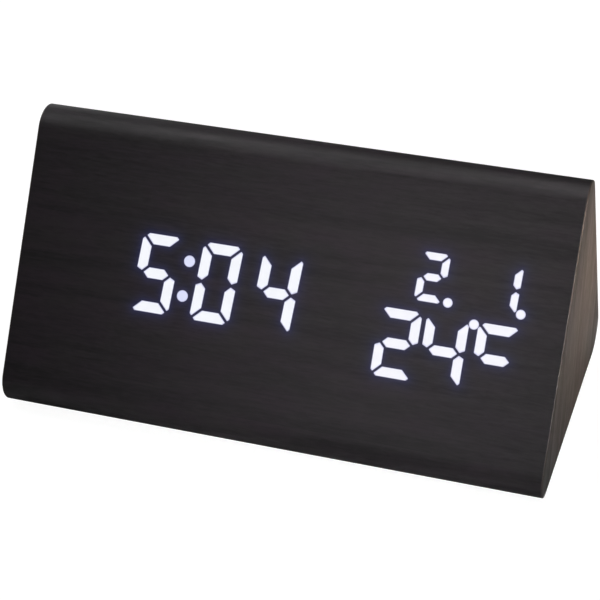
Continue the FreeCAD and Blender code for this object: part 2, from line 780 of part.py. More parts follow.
def display(groups, sources):
    """Light segments, the reflector that separates them, the board with its LEDs and the screws."""
    for label, faces in groups.items():
        top = "-film_thickness" if label == "unlit_segments" else "0"
        sub_part(prisms(label, faces, "-film_thickness - diffuser_depth", top), label)

    body = new_body("reflector_blank", "front")
    outline = rectangle(
        "window_centre", "display_rise",
        f"{WINDOW_LENGTH} - 2*window_clearance", "window_height - 2*window_clearance",
    )
    pad(body, "block", f"-{INNER}", "-film_thickness", outline)
    every_face = [face for faces in groups.values() for face in faces]
    reflector = doc.addObject("Part::Cut", "display_reflector")
    reflector.Base = body
    reflector.Tool = prisms("light_wells", every_face, f"-{INNER}", "-film_thickness")
    sub_part(reflector, "display_reflector")

    body = new_body("display_board", "front")
    outline = rectangle(
        "window_centre", "display_rise",
        f"{WINDOW_LENGTH} + 2*display_board_margin", "window_height + 2*display_board_margin",
    )
    pad(body, "plate", f"-{DISPLAY_BACK}", f"-{INNER}", outline)
    holes = [many_sided(x, y, "screw_shank") for x, y in DISPLAY_SCREWS]
    cut(body, "screw_holes", f"-{DISPLAY_BACK}", f"-{INNER}", *holes)
    sub_part(body, "display_board")

    floor = value(f"-{INNER}")
    chip = centred_box(value("led_length"), value("led_width"), floor, floor + value("led_height"))
    solids("segment_leds", [moved(chip, place.x, place.y, turn=turn) for place, turn in sources], "front")

    screw = pan_screw(value("display_screw_bite + pcb_thickness"))
    screw = moved(screw, axis=Vector(1, 0, 0), turn=180)
    back = value(f"-{DISPLAY_BACK}")
    places = [(value(x), value(y)) for x, y in DISPLAY_SCREWS]
    solids("display_screws", [moved(screw, x, y, back) for x, y in places], "front")


def pan_screw(length):
    """Small screw with a low head above z = 0 and its shank below."""
    head, tall, shank = value("screw_head"), value("screw_head_height"), value("screw_shank")
    shaft = facetted((shank / 2, -length), (shank, shank / 2 - length), (shank, 0), sides=6)
    return facetted((head, 0), (head - tall, tall)).fuse(shaft)


def flat_screw(length):
    """Small screw with a countersunk head flush with z = 0."""
    head, shank = value("screw_head"), value("screw_shank")
    neck = (shank - head) / 2
    shaft = facetted((shank / 2, -length), (shank, shank / 2 - length), (shank, neck), sides=6)
    return facetted((shank, neck), (head, 0)).fuse(shaft)


# ---------------------------------------------------------------- rear control panel

PANEL_SCREW_PLACE = "(panel_length/2 - panel_ledge_ends/2 - panel_rim/2)"
PANEL_SCREWS = [PANEL_SCREW_PLACE, f"-{PANEL_SCREW_PLACE}"]
BOSSES = [
    (f"{side}*(panel_length/2 - boss_end_room)", f"{PANEL_RISE} - {side}*boss_spacing_across/2") for side in (-1, 1)
]
# The five controls stand in one row along the panel, evenly spaced.
CONTROL_PITCH = "((panel_length - jack_end_room - button_end_room)/4)"
JACK_PLACE = "(jack_end_room - panel_length/2)"
SLIDER_PLACE = f"({JACK_PLACE} + {CONTROL_PITCH})"
BUTTONS = {
    "set": f"({JACK_PLACE} + 2*{CONTROL_PITCH})",
    "down": f"({JACK_PLACE} + 3*{CONTROL_PITCH})",
    "up": f"({JACK_PLACE} + 4*{CONTROL_PITCH})",
}
MICROPHONE = (f"({BUTTONS['set']} + {CONTROL_PITCH}/2)", f"{PANEL_RISE} + microphone_across")
SENSOR = (f"({BUTTONS['down']} + {CONTROL_PITCH}/2)", f"{PANEL_RISE} + sensor_across")


def control_panel():
    """Moulded plate with a rim, holes for its controls and two bosses for the main board."""
    body = new_body("control_panel", "rear")
    outline = rectangle("0", PANEL_RISE, "panel_length", "panel_height", "panel_corner")
    pad(body, "plate", "-panel_seat", f"-{PANEL_FACE}", outline)
    well = rectangle(
        "0", PANEL_RISE,
        "panel_length - 2*panel_rim", "panel_height - 2*panel_rim", "panel_corner - panel_rim",
    )
    pad(body, "rim", f"-{PANEL_FACE}", "-film_thickness", outline, well)
    bosses = [many_sided(x, y, "boss_diameter", 12) for x, y in BOSSES]
    pad(body, "bosses", f"-{BOARD_FRONT}", "-panel_seat", *bosses)
    bores = [many_sided(x, y, "screw_shank") for x, y in BOSSES]
    cut(body, "boss_bores", f"-{BOARD_FRONT}", f"board_screw_length - {BOARD_FRONT}", *bores)
    holes = [circle(x, PANEL_RISE, "button_diameter + 2*button_clearance") for x in BUTTONS.values()]
    holes.append(circle(JACK_PLACE, PANEL_RISE, "jack_outside + 2*button_clearance"))
    holes.append(many_sided(*MICROPHONE, "microphone_hole"))
    holes += [many_sided(x, PANEL_RISE, "screw_shank") for x in PANEL_SCREWS]
    slot = "slider_knob_length + slider_travel + 2*slider_clearance"
    holes.append(rectangle(SLIDER_PLACE, PANEL_RISE, slot, "slider_knob_width + 2*slider_clearance"))
    for place in (-1, 0, 1):
        x = f"{SENSOR[0]} + {place}*2*sensor_slit_width"
        holes.append(rectangle(x, SENSOR[1], "sensor_slit_width", "sensor_slit_length"))
    cut(body, "openings", "-panel_seat", f"-{PANEL_FACE}", *holes)
    sub_part(body, "control_panel")

    screw = pan_screw(value("panel_thickness + panel_screw_bite"))
    places = [value(x) for x in PANEL_SCREWS]
    face = value(f"-{PANEL_FACE}")
    solids("panel_screws", [moved(screw, x, value(PANEL_RISE), face) for x in places], "rear")


def main_board():
    """Circuit board on the panel's bosses, with its screws and what is soldered to it."""
    body = new_body("main_board", "rear")
    outline = rectangle("0", PANEL_RISE, "panel_length", BOARD_HEIGHT)
    pad(body, "plate", f"-{BOARD_BACK}", f"-{BOARD_FRONT}", outline)
    holes = [many_sided(x, y, "screw_shank") for x, y in BOSSES]
    cut(body, "screw_holes", f"-{BOARD_BACK}", f"-{BOARD_FRONT}", *holes)
    sub_part(body, "main_board")

    screw = board_screw(value("pcb_thickness"), value("board_screw_length"))
    back = value(f"-{BOARD_BACK}")
    places = [(value(x), value(y)) for x, y in BOSSES]
    solids("board_screws", [moved(screw, x, y, back) for x, y in places], "rear")

    front, rise = value(f"-{BOARD_FRONT}"), value(PANEL_RISE)
    size = value("key_body")
    key = centred_box(size, size, front, front + value("key_height"))
    pit = value("key_plunger_depth + button_travel + key_clearance")
    bore = value("key_plunger + 2*key_clearance")
    key = key.cut(facetted((bore, front + value("key_height") - pit), (bore, front + value("key_height"))))
    solids("key_switches", [moved(key, value(x), rise) for x in BUTTONS.values()], "rear")

    block = centred_box(
        value("slider_body_length"), value("slider_body_width"), front, front + value("slider_body_height")
    )
    room = value("slider_knob_length + slider_travel + 2*slider_clearance")
    top = front + value("slider_body_height")
    pit = value("slider_knob_depth + slider_clearance")
    block = block.cut(centred_box(room, value("slider_knob_width + 2*slider_clearance"), top - pit, top))
    solids("sound_switch_body", [moved(block, value(SLIDER_PLACE), rise)], "rear")

    mouth = value(f"-{PANEL_FACE}")
    barrel = Part.makeCylinder(value("jack_outside") / 2, mouth - front, Vector(0, 0, front))
    side = value("jack_block")
    inlet = barrel.fuse(centred_box(side, side, front, front + value("jack_block_height")))
    floor = mouth - value("jack_depth")
    inlet = inlet.cut(Part.makeCylinder(value("jack_bore") / 2, mouth - floor, Vector(0, 0, floor)))
    pin = value("jack_pin") / 2
    tip = mouth - value("jack_pin_recess")
    post = turned([(pin, floor - pin), (pin, tip - pin / 2), (pin / 2, tip)])
    inlet = inlet.fuse(post).removeSplitter()
    solids("power_jack", [moved(inlet, value(JACK_PLACE), rise)], "rear")

    can, top = value("microphone_diameter"), front + value("microphone_height")
    capsule = facetted((can, front), (can, top), sides=24)
    solids("microphone", [moved(capsule, *(value(place) for place in MICROPHONE))], "rear")

    leg_length, leg = value("sensor_leg_length"), value("sensor_leg")
    spread = value("sensor_leg_pitch") / 2
    low, high = front + leg_length, front + leg_length + value("sensor_height")
    sensor = centred_box(value("sensor_length"), value("sensor_width"), low, high)
    for offset in (-spread, spread):
        sensor = sensor.fuse(moved(centred_box(leg, leg, front, low), offset))
    solids("temperature_sensor", [moved(sensor, *(value(place) for place in SENSOR))], "rear")

    chip = centred_box(value("chip_length"), value("chip_width"), back - value("chip_height"), back)
    solids("controller_chip", [moved(chip, value(BUTTONS["down"]), rise)], "rear")
    can, length = value("crystal_diameter"), value("crystal_length")
    can = moved(facetted((can, -length / 2), (can, length / 2)), z=back - can / 2, axis=Vector(1, 0, 0), turn=90)
    solids("clock_crystal", [moved(can, value(f"{SLIDER_PLACE} + {CONTROL_PITCH}/2"), rise)], "rear")
    can = value("buzzer_diameter")
    sounder = facetted((can, back - value("buzzer_height")), (can, back), sides=24)
    solids("alarm_buzzer", [moved(sounder, value(JACK_PLACE), rise)], "rear")


def board_screw(board, bite):
    """Screw from behind a board: head below z = 0, shank through the board and `bite` above it."""
    return moved(pan_screw(board + bite), axis=Vector(1, 0, 0), turn=180)


def button(name, place):
    """Push button with its flange, and the tall switch plunger that it presses."""
    body = new_body(f"{name}_button", "rear")
    under = "(panel_seat + button_play)"
    plunger_top = "(panel_seat + button_play + button_flange_thickness)"
    cap_top = f"({PANEL_FACE} - button_proud)"
    flange = many_sided(place, PANEL_RISE, "button_flange", 16)
    pad(body, "flange", f"-{plunger_top}", f"-{under}", flange)
    pad(body, "cap", f"-{under}", f"-{cap_top}", circle(place, PANEL_RISE, "button_diameter"))
    top = value(f"-{cap_top}")
    dress(body, "Chamfer", "edge_break", "button_edge", lambda edge: abs(face_height(edge) - top) < 0.001)
    sub_part(body, f"{name}_button")

    low = value(f"key_height - key_plunger_depth - {BOARD_FRONT}")
    pin = facetted((value("key_plunger"), low), (value("key_plunger"), value(f"-{plunger_top}")))
    solids(f"{name}_switch_plunger", [moved(pin, value(place), value(PANEL_RISE))], "rear")


def face_height(edge):
    """Height of an edge's middle in its body's own frame."""
    return edge.CenterOfMass.z


def sound_switch_knob():
    """Sliding knob of the sound switch, at the end of its slot nearer the buttons."""
    body = new_body("sound_switch_knob", "rear")
    low = f"slider_body_height - {BOARD_FRONT} - slider_knob_depth"
    high = f"slider_knob_proud - {PANEL_FACE}"
    place = f"{SLIDER_PLACE} + slider_travel/2"
    outline = rectangle(place, PANEL_RISE, "slider_knob_length", "slider_knob_width")
    pad(body, "lever", low, high, outline)
    sub_part(body, "sound_switch_knob")


# ---------------------------------------------------------------- base: battery tray, cells and door

TRAY_SCREW_ALONG = f"({MOUTH_LENGTH}/2 + {FLANGE_LENGTH}/2)/2"
TRAY_SCREWS = [(f"{side}*{TRAY_SCREW_ALONG}", "tray_offset") for side in (-1, 1)]
HINGE_LINE = f"(tray_offset - {MOUTH_WIDTH}/2)"
LATCH_LINE = f"(tray_offset + {MOUTH_WIDTH}/2)"
TABS = ["-tab_spacing/2", "tab_spacing/2"]


def battery_tray():
    """Moulded tray let into the base: flange, cup for the cells and a stepped mouth for the door."""
    body = new_body("battery_tray", "base")
    flange = rectangle("0", "tray_offset", FLANGE_LENGTH, FLANGE_WIDTH, "tray_corner")
    pad(body, "flange", f"-{TRAY_SEAT}", "-film_thickness", flange)
    cup = rectangle("0", "tray_offset", CUP_LENGTH, CUP_WIDTH)
    pad(body, "cup", f"-{TRAY_TOP}", f"-{TRAY_SEAT}", cup)
    mouth = rectangle("0", "tray_offset", MOUTH_LENGTH, MOUTH_WIDTH, "door_corner")
    cut(body, "mouth", f"-{DOOR_INNER}", "-film_thickness", mouth)
    cavity = rectangle("0", "tray_offset", CAVITY_LENGTH, CAVITY_WIDTH)
    cut(body, "cavity", f"-{TRAY_FLOOR}", f"-{DOOR_INNER}", cavity)
    pocket_width = "(tab_length + tab_clearance + door_ledge)"
    pocket_place = f"{HINGE_LINE} - tab_length - tab_clearance + {pocket_width}/2"
    pockets = [rectangle(x, pocket_place, "tab_width + 2*tab_clearance", pocket_width) for x in TABS]
    lip = "(film_thickness + door_thickness - tab_thickness - tab_clearance/3)"
    cut(body, "tab_pockets", f"-{TRAY_SEAT}", f"-{lip}", *pockets)
    notch = rectangle("0", LATCH_LINE, "thumb_notch_width", "2*thumb_notch_depth")
    cut(body, "thumb_notch", f"-{DOOR_INNER}", "-film_thickness", notch)
    holes = [many_sided(x, y, "screw_shank") for x, y in TRAY_SCREWS]
    cut(body, "screw_holes", f"-{TRAY_SEAT}", "-film_thickness", *holes)
    face = value("-film_thickness")
    centres = [Vector(value(x), value(y), face) for x, y in TRAY_SCREWS]
    near = value("screw_shank")

    def at_hole(edge):
        middle = edge.CenterOfMass
        level = abs(middle.z - face) < 0.001 and abs(edge.BoundBox.ZLength) < 0.001
        return level and any((middle - centre).Length < near for centre in centres)

    dress(body, "Chamfer", "countersinks", "(screw_head - screw_shank)/2", at_hole)
    sub_part(body, "battery_tray")

    screw = flat_screw(value("tray_screw_length"))
    solids("tray_screws", [moved(screw, place.x, place.y, face) for place in centres], "base")


def battery_door():
    """Door flush in the tray's mouth: two hinge tabs at the rear, a thumb latch at the front."""
    body = new_body("battery_door", "base")
    plate = rectangle(
        "0", "tray_offset",
        f"{MOUTH_LENGTH} - 2*door_clearance", f"{MOUTH_WIDTH} - 2*door_clearance", "door_corner",
    )
    pad(body, "plate", f"-{DOOR_INNER}", "-film_thickness", plate)
    reach = "(tab_length + 2*door_clearance)"
    place = f"{HINGE_LINE} - tab_length + {reach}/2"
    tabs = [rectangle(x, place, "tab_width", reach) for x in TABS]
    pad(body, "tabs", f"-{DOOR_INNER}", f"tab_thickness - {DOOR_INNER}", *tabs)
    slot_place = f"{LATCH_LINE} - door_clearance - latch_length/2 + latch_slot/2"
    slot_side = "(latch_width/2 + latch_slot/2)"
    slots = [
        rectangle(f"{side}*{slot_side}", slot_place, "latch_slot", "latch_length + latch_slot")
        for side in (-1, 1)
    ]
    cut(body, "latch_slots", f"-{DOOR_INNER}", "-film_thickness", *slots)
    sub_part(body, "battery_door")


def cell_axes():
    """Across-place of each cell and which end its spring is at: -1 or 1 along the case."""
    pitch, offset = value("cell_pitch"), value("tray_offset")
    return [(offset + (number - 1.5) * pitch, 1 if number % 2 else -1) for number in range(4)]


def battery_cells():
    """Four cells side by side, turned alternately, with their springs and contact plates."""
    can, nub = value("cell_diameter"), value("cell_nub")
    length, half = value("cell_length"), value(CAVITY_LENGTH) / 2
    shoulder = length - value("cell_nub_height")
    cell = facetted((can, 0), (can, shoulder), sides=24).fuse(facetted((nub, shoulder), (nub, length)))
    plate = value("contact_plate")
    room = value("spring_room")
    tall = value("contact_width")
    depth = value(f"-{CELL_AXIS}")
    spring = coil_spring(room)
    cells, springs, plates = [], [], []
    for across, spring_end in cell_axes():
        # turned about Y, z points along the case from the spring's end to the other
        turn = 90 if spring_end < 0 else -90
        start = spring_end * (half - plate)
        cells.append(moved(cell, start - spring_end * room, across, depth, Vector(0, 1, 0), turn))
        springs.append(moved(spring, start, across, depth, Vector(0, 1, 0), turn))
        for end in (-1, 1):
            contact = centred_box(plate, tall, depth - tall / 2, depth + tall / 2)
            plates.append(moved(contact, end * (half - plate / 2), across))
    solids("battery_cells", cells, "base")
    solids("battery_springs", springs, "base")
    solids("contact_plates", plates, "base")


def coil_spring(room):
    """Conical spring of square wire standing on z = 0 and `room` tall, in short straight steps."""
    wire = value("spring_wire") / 2
    base, tip = value("spring_base") / 2, value("spring_tip") / 2
    steps = round(value("spring_turns * spring_steps"))
    sections = []
    for step in range(steps + 1):
        share = step / steps
        radius = base + (tip - base) * share
        height = wire + (room - 2 * wire) * share
        turn = FreeCAD.Rotation(Vector(0, 0, 1), 360 * step / value("spring_steps"))
        corners = [
            turn.multVec(Vector(radius + x, 0, height + z))
            for x, z in ((wire, 0), (0, wire), (-wire, 0), (0, -wire))
        ]
        sections.append(Part.makePolygon(corners + corners[:1]))
    return Part.makeLoft(sections, True, True)


# ---------------------------------------------------------------- cables inside the case

def cables():
    """Ribbon between the two boards with its headers, and the two leads from the tray."""
    length, width, tall = value("header_length"), value("header_width"), value("header_height")
    angle = radians(value("face_angle"))
    rear_depth = value(BOARD_BACK)
    front_depth = value(DISPLAY_BACK)
    rear_rise = value(f"{PANEL_RISE} + header_rise")
    # the front header sits level with the rear one, seen at the two headers' ends
    front_rise = rear_rise - (rear_depth - front_depth) / tan(angle)
    half, floor = value("base_width") / 2, value("foot_height")

    def inside(side, rise, depth):
        """(Y, Z) of a point under the front (-1) or rear (1) face."""
        y = half - rise * cos(angle) - depth * sin(angle)
        return Vector(0, side * y, floor + rise * sin(angle) - depth * cos(angle))

    front_header = centred_box(length, width, -front_depth - tall, -front_depth)
    front_header = on_face(moved(front_header, 0, front_rise), "front")
    rear_header = centred_box(length, width, -rear_depth - tall, -rear_depth)
    rear_header = on_face(moved(rear_header, 0, rear_rise), "rear")
    solids("ribbon_headers", [front_header, rear_header])

    start = inside(-1, front_rise, front_depth + tall)
    end = inside(1, rear_rise, rear_depth + tall)
    down_in = Vector(0, sin(angle), -cos(angle))
    corner = start + down_in * ((end.y - start.y) / 2 / sin(angle))
    bend, across, thick = value("ribbon_bend"), value("ribbon_width"), value("ribbon_thickness")
    solids("display_ribbon", [bent_strip([start, corner, end], bend, across, thick)])

    end = inside(1, value(f"{PANEL_RISE} - {BOARD_HEIGHT}/2 + lead_edge"), rear_depth)
    bend = value("lead_bend")
    outward = Vector(0, sin(angle), cos(angle))
    corner = end - outward * (bend * tan(angle / 2) + value("lead_diameter"))
    start = Vector(0, corner.y, floor + value(TRAY_TOP))
    lead = bent_tube([start, corner, end], bend, value("lead_diameter"))
    spread = value("lead_spacing") / 2
    solids("battery_leads", [moved(lead, x) for x in (-spread, spread)])


def on_face(shape, face):
    """A shape of an outer face's frame, put into the case's."""
    copy = shape.copy()
    copy.Placement = sheet.evalExpression(face_frame(face)).multiply(copy.Placement)
    return copy


def bent_path(points, radius):
    """Two straight runs joined by a tangent arc, in a plane across the case."""
    start, corner, end = points
    into = (corner - start).normalize()
    out = (end - corner).normalize()
    half_turn = into.getAngle(out) / 2
    reach = radius * tan(half_turn)
    first, last = corner - into * reach, corner + out * reach
    middle = (first + last) * 0.5
    bulge = (corner - middle).normalize() * (radius * (1 - cos(half_turn)))
    edges = [Part.LineSegment(start, first).toShape(), Part.Arc(first, middle + bulge, last).toShape()]
    return Part.Wire(edges + [Part.LineSegment(last, end).toShape()])


def bent_tube(points, radius, diameter):
    """Six-sided wire along a bent path."""
    path = bent_path(points, radius)
    along = (points[1] - points[0]).normalize()
    section = polygon(diameter, sides=6)
    section.Placement = FreeCAD.Placement(points[0], FreeCAD.Rotation(Vector(0, 0, 1), along))
    return path.makePipeShell([section], True, False)


def bent_strip(points, radius, width, thickness):
    """Flat strip along a bent path, as wide as it runs along the case."""
    path = bent_path(points, radius)
    along = (points[1] - points[0]).normalize()
    across = Vector(1, 0, 0) * (width / 2)
    through = along.cross(Vector(1, 0, 0)) * (thickness / 2)
    corners = [points[0] + across * a + through * b for a, b in ((-1, -1), (1, -1), (1, 1), (-1, 1))]
    section = Part.makePolygon(corners + corners[:1])
    return path.makePipeShell([section], True, False)


# ---------------------------------------------------------------- the clock

sleeve()
end_panel("left_end_panel", -1)
end_panel("right_end_panel", 1)
end_film("left_end_film", -1)
end_film("right_end_film", 1)
light_groups, light_sources = display_layout()
display(light_groups, light_sources)
lit_faces = [face for label, faces in light_groups.items() if label != "unlit_segments" for face in faces]
wrap_film(prisms("film_windows", lit_faces, f"-film_thickness - {OVERRUN}", OVERRUN))
feet()
control_panel()
main_board()
for button_name, button_place in BUTTONS.items():
    button(button_name, button_place)
sound_switch_knob()
battery_tray()
battery_door()
battery_cells()
cables()
doc.recompute()

for item in doc.Objects:
    if "Invalid" in item.State or "Error" in item.State:
        raise RuntimeError(f"{item.Label}: {item.State}")
os.makedirs("parts", exist_ok=True)
for item in sub_parts:
    if item.Shape.isNull() or not item.Shape.isValid():
        raise RuntimeError(f"{item.Label} has no valid shape")
    item.Shape.exportStep(f"parts/{item.Label}.step")
    print(f"{item.Label:28s} {len(item.Shape.Solids):3d} solids {item.Shape.Volume:11.1f} mm3")
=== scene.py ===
"""Looks of a wedge-shaped LED desk clock in black wood-print film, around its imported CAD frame.

Lengths are metres in the clock's own frame: X along the case, -Y out of the display side, Z up, with
the origin under the middle of the case. Each operator makes one piece or one group of like pieces.
"""
from math import cos, pi, radians, sin, sqrt, tan

import bmesh
import bpy
import numpy as np
from bpy.props import FloatProperty, FloatVectorProperty, PointerProperty
from mathutils import Matrix, Vector


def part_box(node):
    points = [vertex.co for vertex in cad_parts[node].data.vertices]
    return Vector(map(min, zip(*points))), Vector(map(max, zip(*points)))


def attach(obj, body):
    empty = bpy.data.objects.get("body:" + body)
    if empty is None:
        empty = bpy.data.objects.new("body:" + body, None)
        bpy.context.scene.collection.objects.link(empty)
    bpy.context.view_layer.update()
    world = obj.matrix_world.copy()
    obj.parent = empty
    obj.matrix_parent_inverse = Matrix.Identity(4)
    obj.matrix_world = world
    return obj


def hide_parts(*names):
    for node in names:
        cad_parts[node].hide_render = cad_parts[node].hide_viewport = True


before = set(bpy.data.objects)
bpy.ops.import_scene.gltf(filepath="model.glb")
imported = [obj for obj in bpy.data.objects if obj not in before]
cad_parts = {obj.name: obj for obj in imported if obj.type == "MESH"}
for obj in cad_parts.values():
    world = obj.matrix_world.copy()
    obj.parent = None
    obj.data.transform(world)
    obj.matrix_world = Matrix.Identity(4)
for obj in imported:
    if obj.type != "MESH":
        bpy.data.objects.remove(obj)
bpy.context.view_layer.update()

bl_info = {
    "name": "Wedge LED Desk Clock",
    "version": (1, 0, 0),
    "blender": (4, 5, 0),
    "location": "View3D > Sidebar > Clock",
    "description": "Film, lights, controls and stage of a wedge-shaped LED desk clock",
    "category": "Add Mesh",
}

MM = 0.001
TILT = radians(60.0)  # the front and rear faces lean this far from the base
GLOW_EDGE = 6 * MM  # the glow on the film is worked out this far round the lit segments
CELL_LENGTH, CELL_RADIUS = 44.5 * MM, 5.25 * MM  # of one battery cell, cap included
SCREW_RADIUS = 2 * MM  # of the screws that show


# ---------------------------------------------------------------- sizes and colours

def srgb(code):
    """Linear colour of an sRGB hex value such as "#1f1b1f"."""
    channels = np.array([int(code[at:at + 2], 16) for at in (1, 3, 5)]) / 255
    linear = np.where(channels <= 0.04045, channels / 12.92, ((channels + 0.055) / 1.055) ** 2.4)
    return tuple(float(channel) for channel in linear)


def length(name, description, millimetres):
    """Property for a length, given in millimetres and kept in metres."""
    return FloatProperty(
        name=name, description=description, default=millimetres * MM, unit="LENGTH", precision=5
    )


def angle(name, description, degrees):
    """Property for an angle, given in degrees and kept in radians."""
    return FloatProperty(name=name, description=description, default=radians(degrees), subtype="ANGLE")


def number(name, description, value):
    """Property for a plain number."""
    return FloatProperty(name=name, description=description, default=value)


def colour(name, description, code):
    """Property for a colour, given as an sRGB hex value and kept linear."""
    return FloatVectorProperty(
        name=name, description=description, default=srgb(code), subtype="COLOR", min=0, max=1
    )


class CaseSizes(bpy.types.PropertyGroup):
    side: length("Side", "Edge of the triangular profile, measured to its sharp corners", 92.5)
    corner: length("Corner radius", "Rounding of the three long edges", 7.0)
    film: length("Film", "Thickness of the wood-print film", 0.4)
    film_edge: length("Film edge", "Rounding of the end films' outer edge", 0.3)
    foot: length("Foot height", "How far the feet lift the base", 1.0)
    panel_rise: length("Panel rise", "Middle of the control panel, up the rear slope", 38.249)
    panel_length: length("Panel length", "Length of the recessed control panel", 62.0)
    panel_height: length("Panel height", "Height of the recessed control panel", 28.0)
    panel_corner: length("Panel corner", "Corner radius of the control panel", 3.0)
    panel_floor: length("Panel floor", "Depth of the panel's face below the film", 1.6)
    tray_offset: length("Tray offset", "How far the battery tray's middle is in front of the case's", 1.0)
    tray_corner: length("Tray corner", "Corner radius of the battery tray's flange", 2.0)
    cut_gap: length("Cut gap", "Gap between the film's cut edge and what is let into it", 0.2)


def digit_sizes(height, width, stroke, bar_mitre, upright_mitre, cut, slant, rise):
    """The properties that each row of digits has, given in millimetres and degrees."""
    mitre = "Set-back of the {} from the mitre"
    return {
        "height": length("Height", "Height of a digit", height),
        "width": length("Width", "Width of a digit", width),
        "stroke": length("Stroke", "Width of a segment", stroke),
        "bar_mitre": length("Bar mitre", mitre.format("top and bottom bars' ends"), bar_mitre),
        "upright_mitre": length("Upright mitre", mitre.format("uprights' outer ends"), upright_mitre),
        "cut": length("Corner cut", "How much of the digit's outer corners is cut off", cut),
        "slant": angle("Slant", "Lean of the digits to the right", slant),
        "rise": length("Rise", "Middle of the digits, up the front slope", rise),
    }


class TimeDigits(bpy.types.PropertyGroup):
    __annotations__ = digit_sizes(
        height=21.0, width=11.14, stroke=2.83, bar_mitre=0.4, upright_mitre=0.61,
        cut=1.65, slant=3.38, rise=46.08,
    )
    pitch: length("Pitch", "Distance from digit to digit", 16.65)
    colon_centre: length("Colon centre", "Place of the colon along the case", -26.74)
    colon_room: length("Colon room", "Distance between the digits on the colon's two sides", 17.12)
    colon_spread: length("Colon spread", "Distance between the colon's dots", 9.41)
    dot: length("Dot", "Diameter of the colon's dots", 3.07)


class DateDigits(bpy.types.PropertyGroup):
    __annotations__ = digit_sizes(
        height=12.79, width=7.65, stroke=1.95, bar_mitre=0.33, upright_mitre=0.48,
        cut=1.27, slant=1.67, rise=56.66,
    )
    end: length("End", "Right edge of the last digit", 61.72)
    pair_pitch: length("Pair pitch", "Distance from the month's last digit to the day's last digit", 18.94)
    dot: length("Dot", "Diameter of the dots", 2.5)
    dot_offset: length("Dot offset", "Dot's middle from its digit's right edge", 1.12)


class TemperatureDigits(bpy.types.PropertyGroup):
    __annotations__ = digit_sizes(
        height=17.96, width=11.15, stroke=2.57, bar_mitre=0.36, upright_mitre=0.56,
        cut=1.55, slant=0.71, rise=38.36,
    )
    end: length("End", "Right edge of the unit letter", 63.67)
    pitch: length("Pitch", "Distance from digit to digit", 12.35)
    letter_pitch: length("Letter pitch", "Distance from the last digit to the unit letter", 13.51)
    dot: length("Degree dot", "Diameter of the degree dot", 2.6)
    dot_drop: length("Degree drop", "Degree dot's middle below the digits' top", 0.85)


class LightSizes(bpy.types.PropertyGroup):
    rounding: length("Rounding", "Rounding of each lit segment's corners", 0.16)
    rim: length("Rim", "Width of the dimmer rim of a lit segment", 0.35)
    proud: length("Proud", "How far a lit segment's face stands out of the film", 0.03)
    depth: length("Depth", "Depth of a lit segment behind the film's face", 1.9)
    reach: length("Halo reach", "Distance in which the glow round a segment falls to a third", 1.1)
    mesh: length("Halo mesh", "Spacing of the film's mesh where it shows the glow", 0.45)
    halo: number("Halo strength", "Brightness of the glow right beside a segment", 0.105)


class Colours(bpy.types.PropertyGroup):
    film_dark: colour("Film, grain", "Darkest grain lines of the front film", "#0e090e")
    film_light: colour("Film, ground", "Ground of the front film", "#2b252a")
    # End films: the same wood print, made lighter than the front film's colours to paint the light that falls
    # on the end faces.
    end_grain_with_painted_light: colour("End film, grain", "Darkest grain lines of the end films", "#38322e")
    end_ground_with_painted_light: colour("End film, ground", "Ground of the end films", "#48413c")
    time_light: colour("Time light", "Lit segments of the time", "#f5f7fd")
    time_rim: colour("Time rim", "Rim of the time's lit segments", "#c3c4e6")
    colon_light: colour("Colon light", "Lit dots of the colon", "#dde1fb")
    small_light: colour("Small light", "Lit segments of date and temperature", "#f6f6fd")
    small_rim: colour("Small rim", "Rim of the date's and temperature's lit segments", "#c9c9ea")
    halo: colour("Halo", "Glow on the film round a lit segment", "#4f5cb8")
    plastic: colour("Plastic", "Moulded panel, tray and door", "#1d1d1f")
    button: colour("Button", "Buttons and switch knob", "#2a2a2d")
    floor: colour("Floor", "Ground that the clock stands on", "#bdbdbd")


class StageSizes(bpy.types.PropertyGroup):
    floor_size: length("Floor", "Edge of the square floor", 6000.0)
    top_power: number("Overhead lamp", "Power of the lamp above the clock in watts", 4.0)
    side_power: number("Side lamp", "Power of the lamp beside the right end in watts", 0.025)
    front_power: number("Front lamp", "Power of the lamp at the front right in watts", 0.031)
    rear_power: number("Rear lamp", "Power of the low lamp behind the left end in watts", 5.5)
    world: number("World", "Strength of the even light from all round", 0.02)


class ClockSettings(bpy.types.PropertyGroup):
    case: PointerProperty(type=CaseSizes)
    time: PointerProperty(type=TimeDigits)
    date: PointerProperty(type=DateDigits)
    warm: PointerProperty(type=TemperatureDigits)
    light: PointerProperty(type=LightSizes)
    colours: PointerProperty(type=Colours)
    stage: PointerProperty(type=StageSizes)


def settings():
    """The clock's settings in the current scene."""
    return bpy.context.scene.wedge_clock


# ---------------------------------------------------------------- frames of the three outer faces

def face_frame(face):
    """(basis, origin) of an outer face: x along the case, y up the slope, z outwards.

    The base's y runs to the front. A row of the basis is one axis, so a point is xyz @ basis + origin.
    """
    case = settings().case
    half, c, s = case.side / 2, cos(TILT), sin(TILT)
    frames = {
        "front": ([(1, 0, 0), (0, c, s), (0, -s, c)], (0, -half, case.foot)),
        "rear": ([(-1, 0, 0), (0, -c, s), (0, s, c)], (0, half, case.foot)),
        "base": ([(1, 0, 0), (0, -1, 0), (0, 0, -1)], (0, 0, case.foot)),
    }
    basis, origin = frames[face]
    return np.array(basis, float), np.array(origin, float)


def on_face(points, face):
    """Points of a face's frame, given in the clock's frame."""
    basis, origin = face_frame(face)
    return np.asarray(points) @ basis + origin


def in_face(points, face):
    """Points of the clock's frame, given in a face's frame."""
    basis, origin = face_frame(face)
    return (np.asarray(points) - origin) @ basis.T


# ---------------------------------------------------------------- outlines

